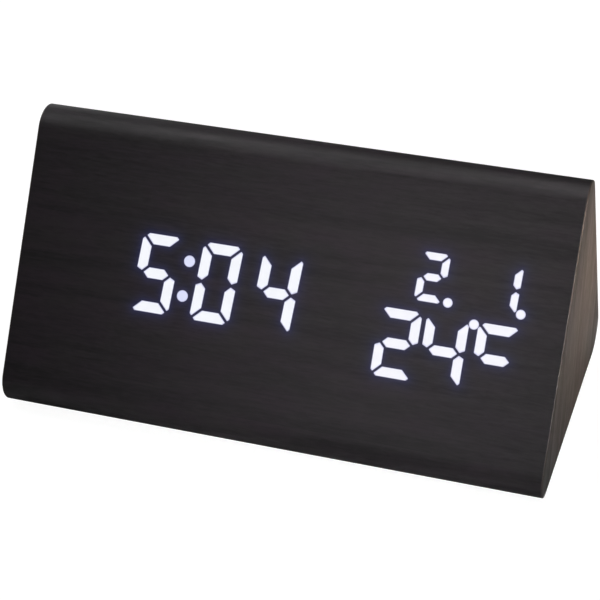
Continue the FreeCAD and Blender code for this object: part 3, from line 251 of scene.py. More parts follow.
def corner_directions(corners):
    """Unit directions from each corner to the one before and the one after, and half the angle between."""
    before = np.roll(corners, 1, axis=0) - corners
    after = np.roll(corners, -1, axis=0) - corners
    before /= np.linalg.norm(before, axis=1, keepdims=True)
    after /= np.linalg.norm(after, axis=1, keepdims=True)
    half = np.arccos(np.clip((before * after).sum(1), -1, 1)) / 2
    return before, after, half


def inset(corners, distance):
    """Convex outline with each side moved inwards: a corner moves distance / sin(half its angle)."""
    before, after, half = corner_directions(corners)
    bisector = before + after
    bisector /= np.linalg.norm(bisector, axis=1, keepdims=True)
    return corners + bisector * (distance / np.sin(half))[:, None]


def rounded(corners, radius, steps):
    """Convex counter-clockwise outline whose corners are arcs tangent to both sides.

    An arc's middle lies radius / sin(half) along the bisector, and it turns through pi - 2 half.
    """
    before, _, half = corner_directions(corners)
    centres = inset(corners, radius)
    start = corners + before * (radius / np.tan(half))[:, None] - centres
    turn = np.linspace(0, 1, steps + 1)[None, :] * (pi - 2 * half)[:, None]
    x = start[:, 0, None] * np.cos(turn) - start[:, 1, None] * np.sin(turn)
    y = start[:, 0, None] * np.sin(turn) + start[:, 1, None] * np.cos(turn)
    return (np.stack([x, y], -1) + centres[:, None, :]).reshape(-1, 2)


def rectangle(size_x, size_y, centre=(0, 0)):
    """Four counter-clockwise corners."""
    signs = np.array([(-1, -1), (1, -1), (1, 1), (-1, 1)], float)
    return signs * (size_x / 2, size_y / 2) + centre


def subdivided(points, spacing):
    """Closed outline with its long sides cut into equal steps no longer than their spacing."""
    pieces = []
    for start, end, step in zip(points, np.roll(points, -1, axis=0), spacing):
        count = max(1, int(np.ceil(np.linalg.norm(end - start) / step)))
        pieces.append(start + (end - start) * (np.arange(count) / count)[:, None])
    return np.concatenate(pieces)


def wedge_corners(distance=0.0):
    """Sharp corners (y, z) of the case's profile, moved inwards: front foot, rear foot, top."""
    case = settings().case
    half = case.side / 2
    corners = np.array([(-half, case.foot), (half, case.foot), (0, case.foot + half * tan(TILT))])
    return inset(corners, distance) if distance else corners


# ---------------------------------------------------------------- meshes

def grid_faces(rows, columns):
    """Quads between the points of a grid kept row by row, whose last column joins its first."""
    row, column = np.arange(rows - 1)[:, None], np.arange(columns)[None, :]
    next_row, next_column = row + 1, (column + 1) % columns
    corners = [
        row * columns + column,
        row * columns + next_column,
        next_row * columns + next_column,
        next_row * columns + column,
    ]
    return np.stack(np.broadcast_arrays(*corners), -1).reshape(-1, 4)


def mesh_piece(name, points, faces, uv=None, attributes=None):
    """Object from points and faces: doubles merged, poles closed, normals outwards.

    An attribute has one value for each point.
    """
    mesh = bpy.data.meshes.new(name)
    mesh.from_pydata(np.asarray(points).reshape(-1, 3).tolist(), [], np.asarray(faces).tolist())
    if uv is not None:
        corner = np.empty(len(mesh.loops), np.int32)
        mesh.loops.foreach_get("vertex_index", corner)
        mesh.uv_layers.new(name="surface").data.foreach_set("uv", uv.reshape(-1, 2)[corner].ravel())
    for label, values in (attributes or {}).items():
        add_values(mesh, label, values)
    shell = bmesh.new()
    shell.from_mesh(mesh)
    bmesh.ops.remove_doubles(shell, verts=shell.verts, dist=1e-7)
    bmesh.ops.dissolve_degenerate(shell, edges=shell.edges, dist=1e-8)
    bmesh.ops.recalc_face_normals(shell, faces=shell.faces)
    shell.to_mesh(mesh)
    shell.free()
    smooth(mesh)
    piece = bpy.data.objects.new(name, mesh)
    bpy.context.scene.collection.objects.link(piece)
    return piece


def add_values(mesh, label, values):
    """Gives a mesh a named value at each point."""
    attribute = mesh.attributes.new(label, "FLOAT", "POINT")
    attribute.data.foreach_set("value", np.ravel(values).astype(np.float32))


def smooth(mesh):
    """Smooth shading, apart from edges over 35 degrees."""
    mesh.polygons.foreach_set("use_smooth", np.ones(len(mesh.polygons), bool))
    mesh.set_sharp_from_angle(angle=radians(35))


def joined(name, shapes, face=None, attributes=None):
    """One piece from several shapes, which are in an outer face's frame where one is named."""
    shift, points, faces = 0, [], []
    for shape_points, shape_faces in shapes:
        placed = on_face(shape_points, face) if face else shape_points
        points.append(placed.reshape(-1, 3))
        faces.append(shape_faces + shift)
        shift += len(points[-1])
    return mesh_piece(name, np.concatenate(points), np.concatenate(faces), attributes=attributes)


def revolved(profile, steps=48):
    """Points and quads of a closed (radius, height) profile turned about z: (r cos t, r sin t, h)."""
    profile = np.asarray(profile, float)
    turn = np.arange(steps) * 2 * pi / steps
    radius, height = profile[:, 0, None], profile[:, 1, None]
    points = np.stack([radius * np.cos(turn), radius * np.sin(turn), height + 0 * turn], -1)
    return points, grid_faces(len(profile), steps)


def slab(outline, rings):
    """Points and quads of a closed convex outline carried through (inset share, height) rings.

    A ring is outline * (1 - share) + middle * share, so a share of 1 closes the slab.
    """
    middle = outline.mean(0)
    share = np.array([ring[0] for ring in rings])[:, None, None]
    height = np.array([ring[1] for ring in rings])[:, None, None]
    flat = outline[None] * (1 - share) + middle * share
    points = np.concatenate([flat, np.broadcast_to(height, flat.shape[:2] + (1,))], -1)
    return points, grid_faces(len(rings), len(outline))


def plate(outline, low, high):
    """Points and quads of a plate with straight walls between two heights."""
    return slab(outline, [(1, low), (0, low), (0, high), (1, high)])


def quarter(radius, steps=5):
    """(inwards, upwards) points of a quarter-round edge: radius (1 - cos t, sin t)."""
    turn = np.linspace(0, pi / 2, steps)
    return [(radius * (1 - cos(t)), radius * sin(t)) for t in turn]


def carved(piece, cutters):
    """The piece with the cutters' solids taken away; the cutters are removed."""
    for cutter in cutters:
        modifier = piece.modifiers.new(cutter.name, "BOOLEAN")
        modifier.operation = "DIFFERENCE"
        modifier.object = cutter
    bpy.context.view_layer.update()
    evaluated = piece.evaluated_get(bpy.context.evaluated_depsgraph_get())
    mesh = bpy.data.meshes.new_from_object(evaluated)
    piece.modifiers.clear()
    piece.data = mesh
    smooth(mesh)
    for cutter in cutters:
        bpy.data.objects.remove(cutter)
    return piece


def settle(piece, body, material, slot, *nodes):
    """Gives a piece its material, its body and the CAD nodes that it stands for; the record slot is not used.
    """
    piece.data.materials.append(material)
    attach(piece, body)
    if nodes:
        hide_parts(*nodes)


def points_of(mesh):
    """Vertices of a mesh as an array."""
    flat = np.empty(len(mesh.vertices) * 3, np.float32)
    mesh.vertices.foreach_get("co", flat)
    return flat.reshape(-1, 3).astype(float)


# ---------------------------------------------------------------- lit segments

LIT = {"2": "abged", "5": "afgcd", "0": "abcdef", "4": "fgbc", "1": "bc", "C": "afg"}


def segment_outline(segment, row):
    """Corners of one segment from its digit's middle: mitred neighbours, cut outer corners, pointed bar."""
    width, height, stroke, cut = row.width / 2, row.height / 2, row.stroke, row.cut
    if segment == "g":
        tip = width - stroke / 2 - row.upright_mitre
        flat = tip - stroke / 2
        upper = [(-tip, 0), (-flat, stroke / 2), (flat, stroke / 2)]
        return np.array(upper + [(-x, -y) for x, y in upper])
    if segment in "ad":
        right = [
            (width - cut, height),
            (width - (cut + row.bar_mitre) / 2, height - (cut - row.bar_mitre) / 2),
            (width - stroke - row.bar_mitre, height - stroke),
        ]
        corners = np.array(right + [(-x, y) for x, y in reversed(right)])
        return corners * (1, 1 if segment == "a" else -1)
    corners = np.array([
        (width, row.bar_mitre + stroke / 4),
        (width, height - cut),
        (width - (cut - row.upright_mitre) / 2, height - (cut + row.upright_mitre) / 2),
        (width - stroke, height - stroke - row.upright_mitre),
        (width - stroke, stroke / 2 + row.bar_mitre),
        (width - stroke / 2, row.bar_mitre),
    ])
    return corners * (1 if segment in "bc" else -1, 1 if segment in "bf" else -1)


def counter_clockwise(corners):
    """The corners in counter-clockwise order, by the sign of the outline's area."""
    x, y = corners.T
    area = (x * np.roll(y, -1) - np.roll(x, -1) * y).sum()
    return corners if area > 0 else corners[::-1]


def digit_outlines(text, middles, row):
    """Rounded outlines, in the front's frame, of the lit segments of a row of digits.

    A digit leans to the right: x grows by y tan(slant).
    """
    outlines = []
    for character, middle in zip(text, middles):
        for segment in LIT[character]:
            corners = segment_outline(segment, row)
            x, y = corners.T
            leaning = np.stack([middle + x + y * tan(row.slant), row.rise + y], -1)
            outlines.append(rounded(counter_clockwise(leaning), settings().light.rounding, 4))
    return outlines


def dot_outline(x, y, diameter, steps=32):
    """Round outline in the front's frame."""
    turn = np.arange(steps) * 2 * pi / steps
    return np.stack([x + diameter / 2 * np.cos(turn), y + diameter / 2 * np.sin(turn)], -1)


def time_outlines():
    """Outlines of the lit hour and minute digits."""
    row = settings().time
    minutes = row.colon_centre + row.colon_room / 2
    return digit_outlines("504", [row.colon_centre - row.colon_room / 2, minutes, minutes + row.pitch], row)


def colon_outlines():
    """Outlines of the colon's two dots, which lean with the digits."""
    row = settings().time
    rises = (-row.colon_spread / 2, row.colon_spread / 2)
    return [dot_outline(row.colon_centre + y * tan(row.slant), row.rise + y, row.dot) for y in rises]


def date_outlines():
    """Outlines of the lit date digits and their dots."""
    row = settings().date
    day = row.end - row.width / 2
    foot = row.rise - row.height / 2 + row.dot / 4
    right = row.end + row.dot_offset
    dots = [dot_outline(right - back, foot, row.dot) for back in (row.pair_pitch, 0)]
    return digit_outlines("21", [day - row.pair_pitch, day], row) + dots


def temperature_outlines():
    """Outlines of the lit temperature digits, the unit letter and the degree dot."""
    row = settings().warm
    letter = row.end - row.width / 2
    units = letter - row.letter_pitch
    above = row.height / 2 - row.dot_drop
    degree = dot_outline(letter - row.letter_pitch / 2 + above * tan(row.slant), row.rise + above, row.dot)
    return digit_outlines("24C", [units - row.pitch, units, letter], row) + [degree]


def lit_outlines():
    """Outlines of all lit segments and dots."""
    return time_outlines() + colon_outlines() + date_outlines() + temperature_outlines()


def glow(points):
    """Share of a segment's light that reaches flat points: exp(-distance / reach) to the nearest outline."""
    nearest = np.full(len(points), np.inf)
    for outline in lit_outlines():
        low, high = outline.min(0) - GLOW_EDGE, outline.max(0) + GLOW_EDGE
        near = np.flatnonzero(((points > low) & (points < high)).all(1))
        for start, end in zip(outline, np.roll(outline, -1, axis=0)):
            side = end - start
            offset = points[near] - start
            share = np.clip(offset @ side / (side @ side), 0, 1)
            distance = np.linalg.norm(offset - share[:, None] * side, axis=1)
            nearest[near] = np.minimum(nearest[near], distance)
    return np.exp(-nearest / settings().light.reach)


def light_piece(name, outlines, node, material):
    """Slab per lit segment: straight walls, a narrow dimmer rim and a bright, level face."""
    light = settings().light
    shapes, bright = [], []
    for outline in outlines:
        middle = outline.mean(0)
        reach = np.linalg.norm(outline - middle, axis=1).min()
        share = min(light.rim / reach, 0.5)
        back, front = -light.depth, light.proud
        shapes.append(slab(outline, [(1, back), (0, back), (0, front), (share, front), (1, front)]))
        bright.append(np.repeat([0.0, 0.0, 0.0, 1.0, 1.0], len(outline)))
    piece = joined(name, shapes, "front", {"bright": np.concatenate(bright)})
    settle(piece, "root", material, "lit_segment", node)


# ---------------------------------------------------------------- materials

def add_node(tree, kind, inputs=None, **attributes):
    """Adds a node, sets its attributes, and sets or links its inputs by name or number."""
    node = tree.nodes.new(kind)
    for name, value in attributes.items():
        setattr(node, name, value)
    for key, value in (inputs or {}).items():
        if isinstance(value, bpy.types.NodeSocket):
            tree.links.new(value, node.inputs[key])
        else:
            node.inputs[key].default_value = value
    return node


def new_material(name, **values):
    """Material with one Principled shader whose sockets are set by name; returns (material, tree, shader)."""
    material = bpy.data.materials.new(name)
    material.use_nodes = True
    tree = material.node_tree
    shader = next(node for node in tree.nodes if node.type == "BSDF_PRINCIPLED")
    for socket, value in values.items():
        shader.inputs[socket.replace("_", " ")].default_value = value
    return material, tree, shader


def opaque(rgb):
    """Colour with full alpha."""
    return (*rgb, 1.0)


def noise(tree, coordinates, sizes, detail=2.0, distortion=0.0, offset=(0, 0, 0)):
    """Noise whose grains have the given real sizes in millimetres along the three coordinates."""
    scale = [1000 / size if size else 0 for size in sizes]
    mapping = add_node(
        tree, "ShaderNodeMapping", {"Vector": coordinates, "Scale": scale, "Location": offset}
    )
    return add_node(
        tree, "ShaderNodeTexNoise",
        {"Vector": mapping.outputs[0], "Scale": 1.0, "Detail": detail, "Distortion": distortion},
    ).outputs["Fac"]


def piece_noise(tree, sizes, detail=2.0):
    """Noise laid out in the clock's own frame; a single size holds for all three coordinates."""
    place = add_node(tree, "ShaderNodeTexCoord").outputs["Object"]
    return noise(tree, place, sizes if isinstance(sizes, tuple) else (sizes,) * 3, detail)


def band(tree, value, low, high, to_low=0.0, to_high=1.0):
    """Value between two levels, stretched to another range and held there."""
    return add_node(
        tree, "ShaderNodeMapRange",
        {"Value": value, "From Min": low, "From Max": high, "To Min": to_low, "To Max": to_high},
    ).outputs[0]


def blend(tree, share, first, second, kind="MIX"):
    """Colour between two colours or sockets."""
    node = add_node(tree, "ShaderNodeMix", data_type="RGBA", blend_type=kind)
    for key, value in ((0, share), (6, first), (7, second)):
        if isinstance(value, bpy.types.NodeSocket):
            tree.links.new(value, node.inputs[key])
        else:
            node.inputs[key].default_value = value
    return node.outputs[2]


def tint(tree, shader, share, low, high):
    """Base colour between two linear colours."""
    tree.links.new(blend(tree, share, opaque(low), opaque(high)), shader.inputs["Base Color"])


def relief(tree, shader, height, depth):
    """Bump whose full height is `depth` metres."""
    bump = add_node(tree, "ShaderNodeBump", {"Height": height, "Distance": depth, "Strength": 1.0})
    tree.links.new(bump.outputs[0], shader.inputs["Normal"])


def wood_print_film(name, ground, grain, roughness, halo=None):
    """Embossed PVC film with a printed fine, nearly straight wood grain; the grain runs along the map's u.

    Fibres are 0.6 mm wide and about 7 mm long, flecks 1.2 mm by 4 mm, the broad figure is 5 mm by 60 mm,
    and pores are 0.25 mm by 3 mm dashes. To the eye it is a satin veneer, nearly black round the case and
    a lighter grey-brown on the ends, where the lighter colour is painted light: short uneven streaks and soft
    blotches that turn a little to violet, all of low contrast. Where there is a halo, the film shines by its
    "glow" value at each point.
    """
    material, tree, shader = new_material(name, Roughness=0.5, IOR=1.5)
    surface = add_node(tree, "ShaderNodeUVMap", uv_map="surface").outputs[0]
    fibres = noise(tree, surface, (7.0, 0.6, 0), detail=2.5, distortion=0.5)
    flecks = noise(tree, surface, (4.0, 1.2, 0), detail=2.0, distortion=0.8, offset=(6.2, 2.4, 0))
    figure = noise(tree, surface, (60.0, 5.0, 0), detail=2.0, distortion=0.6, offset=(3.7, 1.9, 0))
    pores = noise(tree, surface, (3.0, 0.25, 0), detail=1.0, offset=(8.1, 5.3, 0))
    streaks = blend(tree, 0.5, blend(tree, 0.45, fibres, flecks), figure)
    share = band(tree, streaks, 0.38, 0.60)
    tone = blend(tree, share, opaque(grain), opaque(ground))
    dark_pores = band(tree, pores, 0.60, 0.75, 1.0, 0.6)
    tone = blend(tree, 1.0, tone, dark_pores, "MULTIPLY")
    cast = band(tree, noise(tree, surface, (14.0, 6.0, 0), detail=1.0, offset=(1.4, 7.7, 0)), 0.4, 0.6)
    violet, green = opaque(srgb("#fff6ff")), opaque(srgb("#fafff8"))
    tone = blend(tree, 1.0, tone, blend(tree, cast, violet, green), "MULTIPLY")
    tree.links.new(tone, shader.inputs["Base Color"])
    rough = band(tree, streaks, 0.35, 0.65, roughness + 0.1, roughness - 0.08)
    tree.links.new(rough, shader.inputs["Roughness"])
    relief(tree, shader, fibres, 0.02 * MM)
    if halo is not None:
        reach = add_node(tree, "ShaderNodeAttribute", attribute_name="glow").outputs["Fac"]
        strength = add_node(
            tree, "ShaderNodeMath", {0: reach, 1: settings().light.halo}, operation="MULTIPLY"
        ).outputs[0]
        shader.inputs["Emission Color"].default_value = opaque(halo)
        tree.links.new(strength, shader.inputs["Emission Strength"])
    return material


def lit_diffuser(name, centre, rim):
    """Milky diffuser lit from behind by one LED: nearly even white, a little dimmer and bluer at its rim."""
    material, tree, shader = new_material(
        name, Base_Color=opaque(srgb("#0a0a0c")), Roughness=0.6, Emission_Strength=1.0
    )
    bright = add_node(tree, "ShaderNodeAttribute", attribute_name="bright").outputs["Fac"]
    mottle = band(tree, piece_noise(tree, 2.5, detail=1.0), 0.35, 0.65, 0.97, 1.0)
    even = blend(tree, bright, opaque(rim), opaque(centre))
    tree.links.new(blend(tree, 1.0, even, mottle, "MULTIPLY"), shader.inputs["Emission Color"])
    return material


def moulded_abs(name, rgb, grit=0.35, depth=0.012):
    """ABS from a spark-eroded mould: fine even grit under a satin skin, as on most small housings."""
    material, tree, shader = new_material(name, Roughness=0.48, IOR=1.54)
    grain = piece_noise(tree, grit)
    tint(tree, shader, piece_noise(tree, 9.0, detail=1.0), [channel * 0.8 for channel in rgb], rgb)
    tree.links.new(band(tree, grain, 0.3, 0.7, 0.42, 0.56), shader.inputs["Roughness"])
    relief(tree, shader, grain, depth * MM)
    return material


def soft_rubber(name):
    """Stick-on rubber: matt, with a faint bloom of dust, so that it looks greyer than the plastic."""
    material, tree, shader = new_material(name, Roughness=0.85, IOR=1.52)
    dust = piece_noise(tree, 2.5, detail=3.0)
    tint(tree, shader, band(tree, dust, 0.3, 0.8), srgb("#18181a"), srgb("#28282a"))
    relief(tree, shader, piece_noise(tree, 0.5, detail=1.0), 0.01 * MM)
    return material


def plated_steel(name, code, roughness):
    """Nickel- or zinc-plated steel: a bright, slightly blotchy metal."""
    material, tree, shader = new_material(name, Metallic=1.0)
    blotches = piece_noise(tree, 1.2, detail=3.0)
    rgb = srgb(code)
    tint(tree, shader, blotches, [channel * 0.72 for channel in rgb], rgb)
    tree.links.new(
        band(tree, blotches, 0.3, 0.7, roughness - 0.08, roughness + 0.1), shader.inputs["Roughness"]
    )
    return material


def black_fibreboard(name):
    """Dyed fibreboard: pressed wood dust with short pale fibres, dull all over."""
    material, tree, shader = new_material(name, Roughness=0.9)
    fibres = piece_noise(tree, (1.4, 0.25, 0.25), detail=4.0)
    tint(tree, shader, band(tree, fibres, 0.4, 0.75), srgb("#1c1613"), srgb("#5a4a3c"))
    relief(tree, shader, fibres, 0.05 * MM)
    return material


def solder_mask_board(name):
    """Glass-epoxy board under green solder mask: glossy, with the weave just showing."""
    material, tree, shader = new_material(name, Roughness=0.3, IOR=1.55)
    weave = piece_noise(tree, 0.5)
    tint(tree, shader, weave, srgb("#0d3a1d"), srgb("#1d5c31"))
    relief(tree, shader, weave, 0.01 * MM)
    return material


def smooth_polymer(name, low, high, roughness, size=2.0):
    """Smooth moulded or extruded plastic with a slow change of tone over `size` millimetres."""
    material, tree, shader = new_material(name, Roughness=roughness)
    tint(tree, shader, piece_noise(tree, size, detail=3.0), srgb(low), srgb(high))
    return material


FINISHES = {}


def finish(name):
    """One of the clock's shared finishes, made when it is first asked for."""
    tones = settings().colours
    makers = {
        "Moulded ABS panel": lambda label: moulded_abs(label, tones.plastic),
        "Polished ABS key": lambda label: moulded_abs(label, tones.button, grit=0.2, depth=0.004),
        "Stick-on rubber": soft_rubber,
        "Zinc-plated steel": lambda label: plated_steel(label, "#b9b9bd", 0.32),
        "Nickel-plated contact": lambda label: plated_steel(label, "#cfc9bd", 0.22),
        "Black fibreboard": black_fibreboard,
        "Green solder mask": solder_mask_board,
        "Epoxy component": lambda label: smooth_polymer(label, "#111112", "#1e1e20", 0.5),
        "Phosphor silicone": lambda label: smooth_polymer(label, "#d8c86a", "#efe6ae", 0.35, 0.6),
        "Milky diffuser, dark": lambda label: smooth_polymer(label, "#3a3a3d", "#4a4a4e", 0.6),
        "Black ABS reflector": lambda label: smooth_polymer(label, "#101011", "#1b1b1d", 0.55),
        "Cell sleeve": lambda label: smooth_polymer(label, "#1f2227", "#30353d", 0.3, 12.0),
        "PVC insulation": lambda label: smooth_polymer(label, "#3a3a3d", "#5a5a5e", 0.45),
        "White pad print": lambda label: smooth_polymer(label, "#b4b4b4", "#d2d2d2", 0.6, 0.5),
    }
    if name not in FINISHES:
        FINISHES[name] = makers[name](name)
    return FINISHES[name]


# ---------------------------------------------------------------- operators, one for each piece or group

class WrapFilm(bpy.types.Operator):
    """Film folded round the three long faces, with openings for panel and tray"""

    bl_idname = "wedge_clock.wrap_film"
    bl_label = "Wrap Film"

    def execute(self, context):
        case, light = settings().case, settings().light
        low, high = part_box("wrap_film")
        outer = self.profile(0.0)
        inner = self.profile(case.film)
        lit_x = np.concatenate(lit_outlines())[:, 0]
        start, end = lit_x.min() - GLOW_EDGE, lit_x.max() + GLOW_EDGE
        x = np.concatenate([
            np.linspace(low.x, start, 12, endpoint=False),
            np.linspace(start, end, int((end - start) / light.mesh), endpoint=False),  # fine, for the glow
            np.linspace(end, high.x, 8),
            [high.x, low.x],  # the inner face, which needs no columns between its ends
        ])
        profile = np.repeat(outer[:, None, :], len(x), axis=1)
        profile[:, -2:] = inner[:, None, :]
        points = np.concatenate([np.broadcast_to(x[None, :, None], profile.shape[:2] + (1,)), profile], -1)
        walked = np.concatenate([[0], np.cumsum(np.linalg.norm(np.diff(outer, axis=0), axis=1))])
        uv = np.stack(np.broadcast_arrays(x[None, :], walked[:, None]), -1)
        faces = grid_faces(len(outer), len(x))
        piece = mesh_piece("film_wrap", points, faces, uv=uv)
        piece = carved(piece, self.cutters())
        at_front = in_face(points_of(piece.data), "front")
        outside = at_front[:, 2] > -0.1 * case.film
        add_values(piece.data, "glow", np.where(outside, glow(at_front[:, :2]), 0))
        tones = settings().colours
        material = wood_print_film(
            "Black wood-print PVC film", tones.film_light, tones.film_dark, 0.5, tones.halo
        )
        settle(piece, "root", material, "wood_film", "wrap_film")
        return {"FINISHED"}

    @staticmethod
    def profile(distance):
        """Rounded profile once round, from the foot of the display, with fine steps up the display.

        A flat's steps are shared out from its length on the outer face, so profiles at every depth
        have the same number of points.
        """
        case, light = settings().case, settings().light
        arc_steps, coarse = 20, 12 * MM
        loop = rounded(wedge_corners(distance), case.corner - distance, arc_steps)
        sizes = np.linalg.norm(np.roll(loop, -1, axis=0) - loop, axis=1)
        # the arcs are at the front foot, the rear foot and the top, and each one's last point starts a flat
        base, rear, display = arc_steps + np.arange(3) * (arc_steps + 1)
        shrunk = sizes[base] / (case.side - 2 * case.corner / tan(TILT / 2))
        spacing = np.full(len(loop), np.inf)
        spacing[[base, rear]] = coarse * shrunk
        spacing[display] = light.mesh * shrunk
        walk = subdivided(loop, spacing)
        return np.concatenate([walk, walk[:1]])

    @staticmethod
    def cutters():
        """Prisms that open the film over the control panel and the battery tray."""
        case = settings().case
        gap, depth = 2 * case.cut_gap, 2 * MM
        tray_low, tray_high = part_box("battery_tray")
        tray_size = tray_high - tray_low
        openings = {
            "panel_opening": (
                rectangle(case.panel_length + gap, case.panel_height + gap, (0, case.panel_rise)),
                case.panel_corner + case.cut_gap, "rear",
            ),
            "tray_opening": (
                rectangle(tray_size.x + gap, tray_size.y + gap, (0, case.tray_offset)),
                case.tray_corner + case.cut_gap, "base",
            ),
        }
        cutters = []
        for name, (corners, radius, face) in openings.items():
            points, faces = plate(rounded(corners, radius, 8), -depth, depth)
            cutters.append(mesh_piece(name, on_face(points, face), faces))
        return cutters


class EndFilms(bpy.types.Operator):
    """Film over the two triangular ends, with a softened outer edge"""

    bl_idname = "wedge_clock.end_films"
    bl_label = "End Films"

    def execute(self, context):
        case, tones = settings().case, settings().colours
        # lighter colours than the front film's: painted light on the end faces
        material = wood_print_film("Wood-print PVC film, lightened by painted light", tones.end_ground_with_painted_light, tones.end_grain_with_painted_light, 0.36)
        edge = quarter(case.film_edge)
        rim = [rounded(wedge_corners(inwards), case.corner - inwards, 24) for inwards, _ in edge]
        middle = rim[-1].mean(0)
        face = [rim[-1] * (1 - share) + middle * share for share in (0.04, 0.35, 0.7, 1.0)]
        flat = np.stack([face[-1], rim[0]] + rim + face)
        for node, side in (("left_end_film", -1), ("right_end_film", 1)):
            low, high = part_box(node)
            inner, outer = (low.x, high.x) if side > 0 else (high.x, low.x)
            rises = [outer - side * (case.film_edge - upwards) for _, upwards in edge]
            places = [inner, inner] + rises + [outer] * len(face)
            x = np.broadcast_to(np.array(places)[:, None, None], flat.shape[:2] + (1,))
            points = np.concatenate([x, flat], -1)
            uv = np.stack([flat[..., 1], flat[..., 0] * side], -1)
            faces = grid_faces(len(flat), flat.shape[1])
            piece = mesh_piece(f"film_{node.split('_')[0]}_end", points, faces, uv=uv)
            settle(piece, "root", material, "end_wood_film", node)
        return {"FINISHED"}


class DisplayLights(bpy.types.Operator):
    """Lit segments of time, colon, date and temperature"""

    bl_idname = "wedge_clock.display_lights"
    bl_label = "Display Lights"

    def execute(self, context):
        tones = settings().colours
        large = lit_diffuser("Milky diffuser, lit lavender white", tones.time_light, tones.time_rim)
        dots = lit_diffuser("Milky diffuser, lit lavender", tones.colon_light, tones.time_rim)
        small = lit_diffuser("Milky diffuser, lit white", tones.small_light, tones.small_rim)
        light_piece("time_lights", time_outlines(), "lit_time_segments", large)
        light_piece("colon_lights", colon_outlines(), "lit_colon_dots", dots)
        light_piece("date_lights", date_outlines(), "lit_date_segments", small)
        light_piece("temperature_lights", temperature_outlines(), "lit_temperature_segments", small)
        return {"FINISHED"}


class RearControls(bpy.types.Operator):
    """Push buttons, sound switch knob, screws and prints of the rear control panel"""

    bl_idname = "wedge_clock.rear_controls"
    bl_label = "Rear Controls"

    def execute(self, context):
        case = settings().case
        key = finish("Polished ABS key")
        for name in ("set", "down", "up"):
            x, y, bottom, top, radius = rear_place(f"{name}_button")
            points, faces = revolved(self.key_profile(bottom, top, radius), 56)
            piece = mesh_piece(f"{name}_key", on_face(points + (x, y, 0), "rear"), faces)
            settle(piece, f"{name}_button", key, "button_plastic", f"{name}_button")
        self.slider_knob(key)
        screw_heads("panel_screw_heads", "panel_screws", "rear", case.panel_rise, tall=1.2 * MM)
        self.prints()
        return {"FINISHED"}

    @staticmethod
    def key_profile(bottom, top, radius):
        """Half section of a push button: flange, cap with a rounded edge, and a dish.

        The dish's depth falls with the square of the distance from the middle.
        """
        flange, cap, edge = 0.8 * MM, 2.8 * MM, 0.4 * MM
        dish, sunk = 2 * MM, 0.25 * MM
        foot = [(0, bottom), (radius, bottom), (radius, bottom + flange), (cap, bottom + flange)]
        rim = [(cap - inwards, top - edge + upwards) for inwards, upwards in quarter(edge)]
        bowl = [(dish * share, top - sunk * (1 - share ** 2)) for share in (1, 0.75, 0.5, 0.25, 0)]
        return foot + rim + bowl

    @staticmethod
    def slider_knob(material):
        """Knob with three grip ridges: top height = a sum of cosine ridges over rounded edges."""
        low, high = face_box("sound_switch_knob", "rear")
        ridge_count, ridge, rounding = 3, 0.12 * MM, 0.15 * MM
        u = np.linspace(0, 1, 33)
        v = np.linspace(0, 1, 9)
        x = low[0] + (high[0] - low[0]) * u
        y = low[1] + (high[1] - low[1]) * v
        crown = np.clip(8 * np.minimum(u, 1 - u), 0, 1) ** 0.5
        ridges = ridge * (1 - np.cos(u * 2 * pi * ridge_count)) / 2
        top = (high[2] - rounding * (1 - crown) - (ridge - ridges))[:, None] + 0 * v
        upper = np.stack(np.broadcast_arrays(x[:, None], y[None, :], top), -1)
        lower = upper.copy()
        lower[..., 2] = low[2]
        points = np.concatenate([upper, lower[:, ::-1]], axis=1)
        around = points.shape[1]
        faces = grid_faces(len(u), around)
        step = np.arange(len(v) - 1)
        strip = np.stack([step, step + 1, around - 2 - step, around - 1 - step], -1)
        caps = [strip + start for start in (0, (len(u) - 1) * around)]
        piece = mesh_piece("sound_knob", on_face(points, "rear"), np.concatenate([faces] + caps))
        settle(piece, "sound_switch", material, "button_plastic", "sound_switch_knob")

    @staticmethod
    def prints():
        """Thin marks over the controls: dot for set, triangles for down and up, bar and dot at the switch."""
        case = settings().case
        floor, thick = -case.panel_floor, 0.03 * MM
        over = case.panel_rise + 5.6 * MM
        over_knob = over - 1.2 * MM
        set_x, down_x, up_x = (rear_place(f"{name}_button")[0] for name in ("set", "down", "up"))
        knob_x = rear_place("sound_switch_knob")[0]
        triangle = np.array([(-1.0, -0.8), (1.0, -0.8), (0, 1.0)]) * MM
        rounding = 0.12 * MM
        outlines = [
            rounded(triangle + (up_x, over), rounding, 3),
            rounded(counter_clockwise(triangle * (1, -1)) + (down_x, over), rounding, 3),
            dot_outline(set_x, over, 1.5 * MM),
            rounded(rectangle(0.35 * MM, 1.7 * MM, (knob_x, over_knob)), 0.1 * MM, 2),
            dot_outline(knob_x - 2 * MM, over_knob, 1.1 * MM),
        ]
        shapes = [plate(outline, floor - thick, floor + thick) for outline in outlines]
        piece = joined("panel_prints", shapes, "rear")
        settle(piece, "root", finish("White pad print"), "panel_plastic")


def face_box(node, face):
    """Lowest and highest corner of a CAD node in an outer face's frame."""
    flat = in_face(points_of(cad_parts[node].data), face)
    return flat.min(0), flat.max(0)


def rear_place(node):
    """(x, y, lowest, highest, radius) of a round CAD node in the rear's frame."""
    low, high = face_box(node, "rear")
    return (low[0] + high[0]) / 2, (low[1] + high[1]) / 2, low[2], high[2], (high[0] - low[0]) / 2


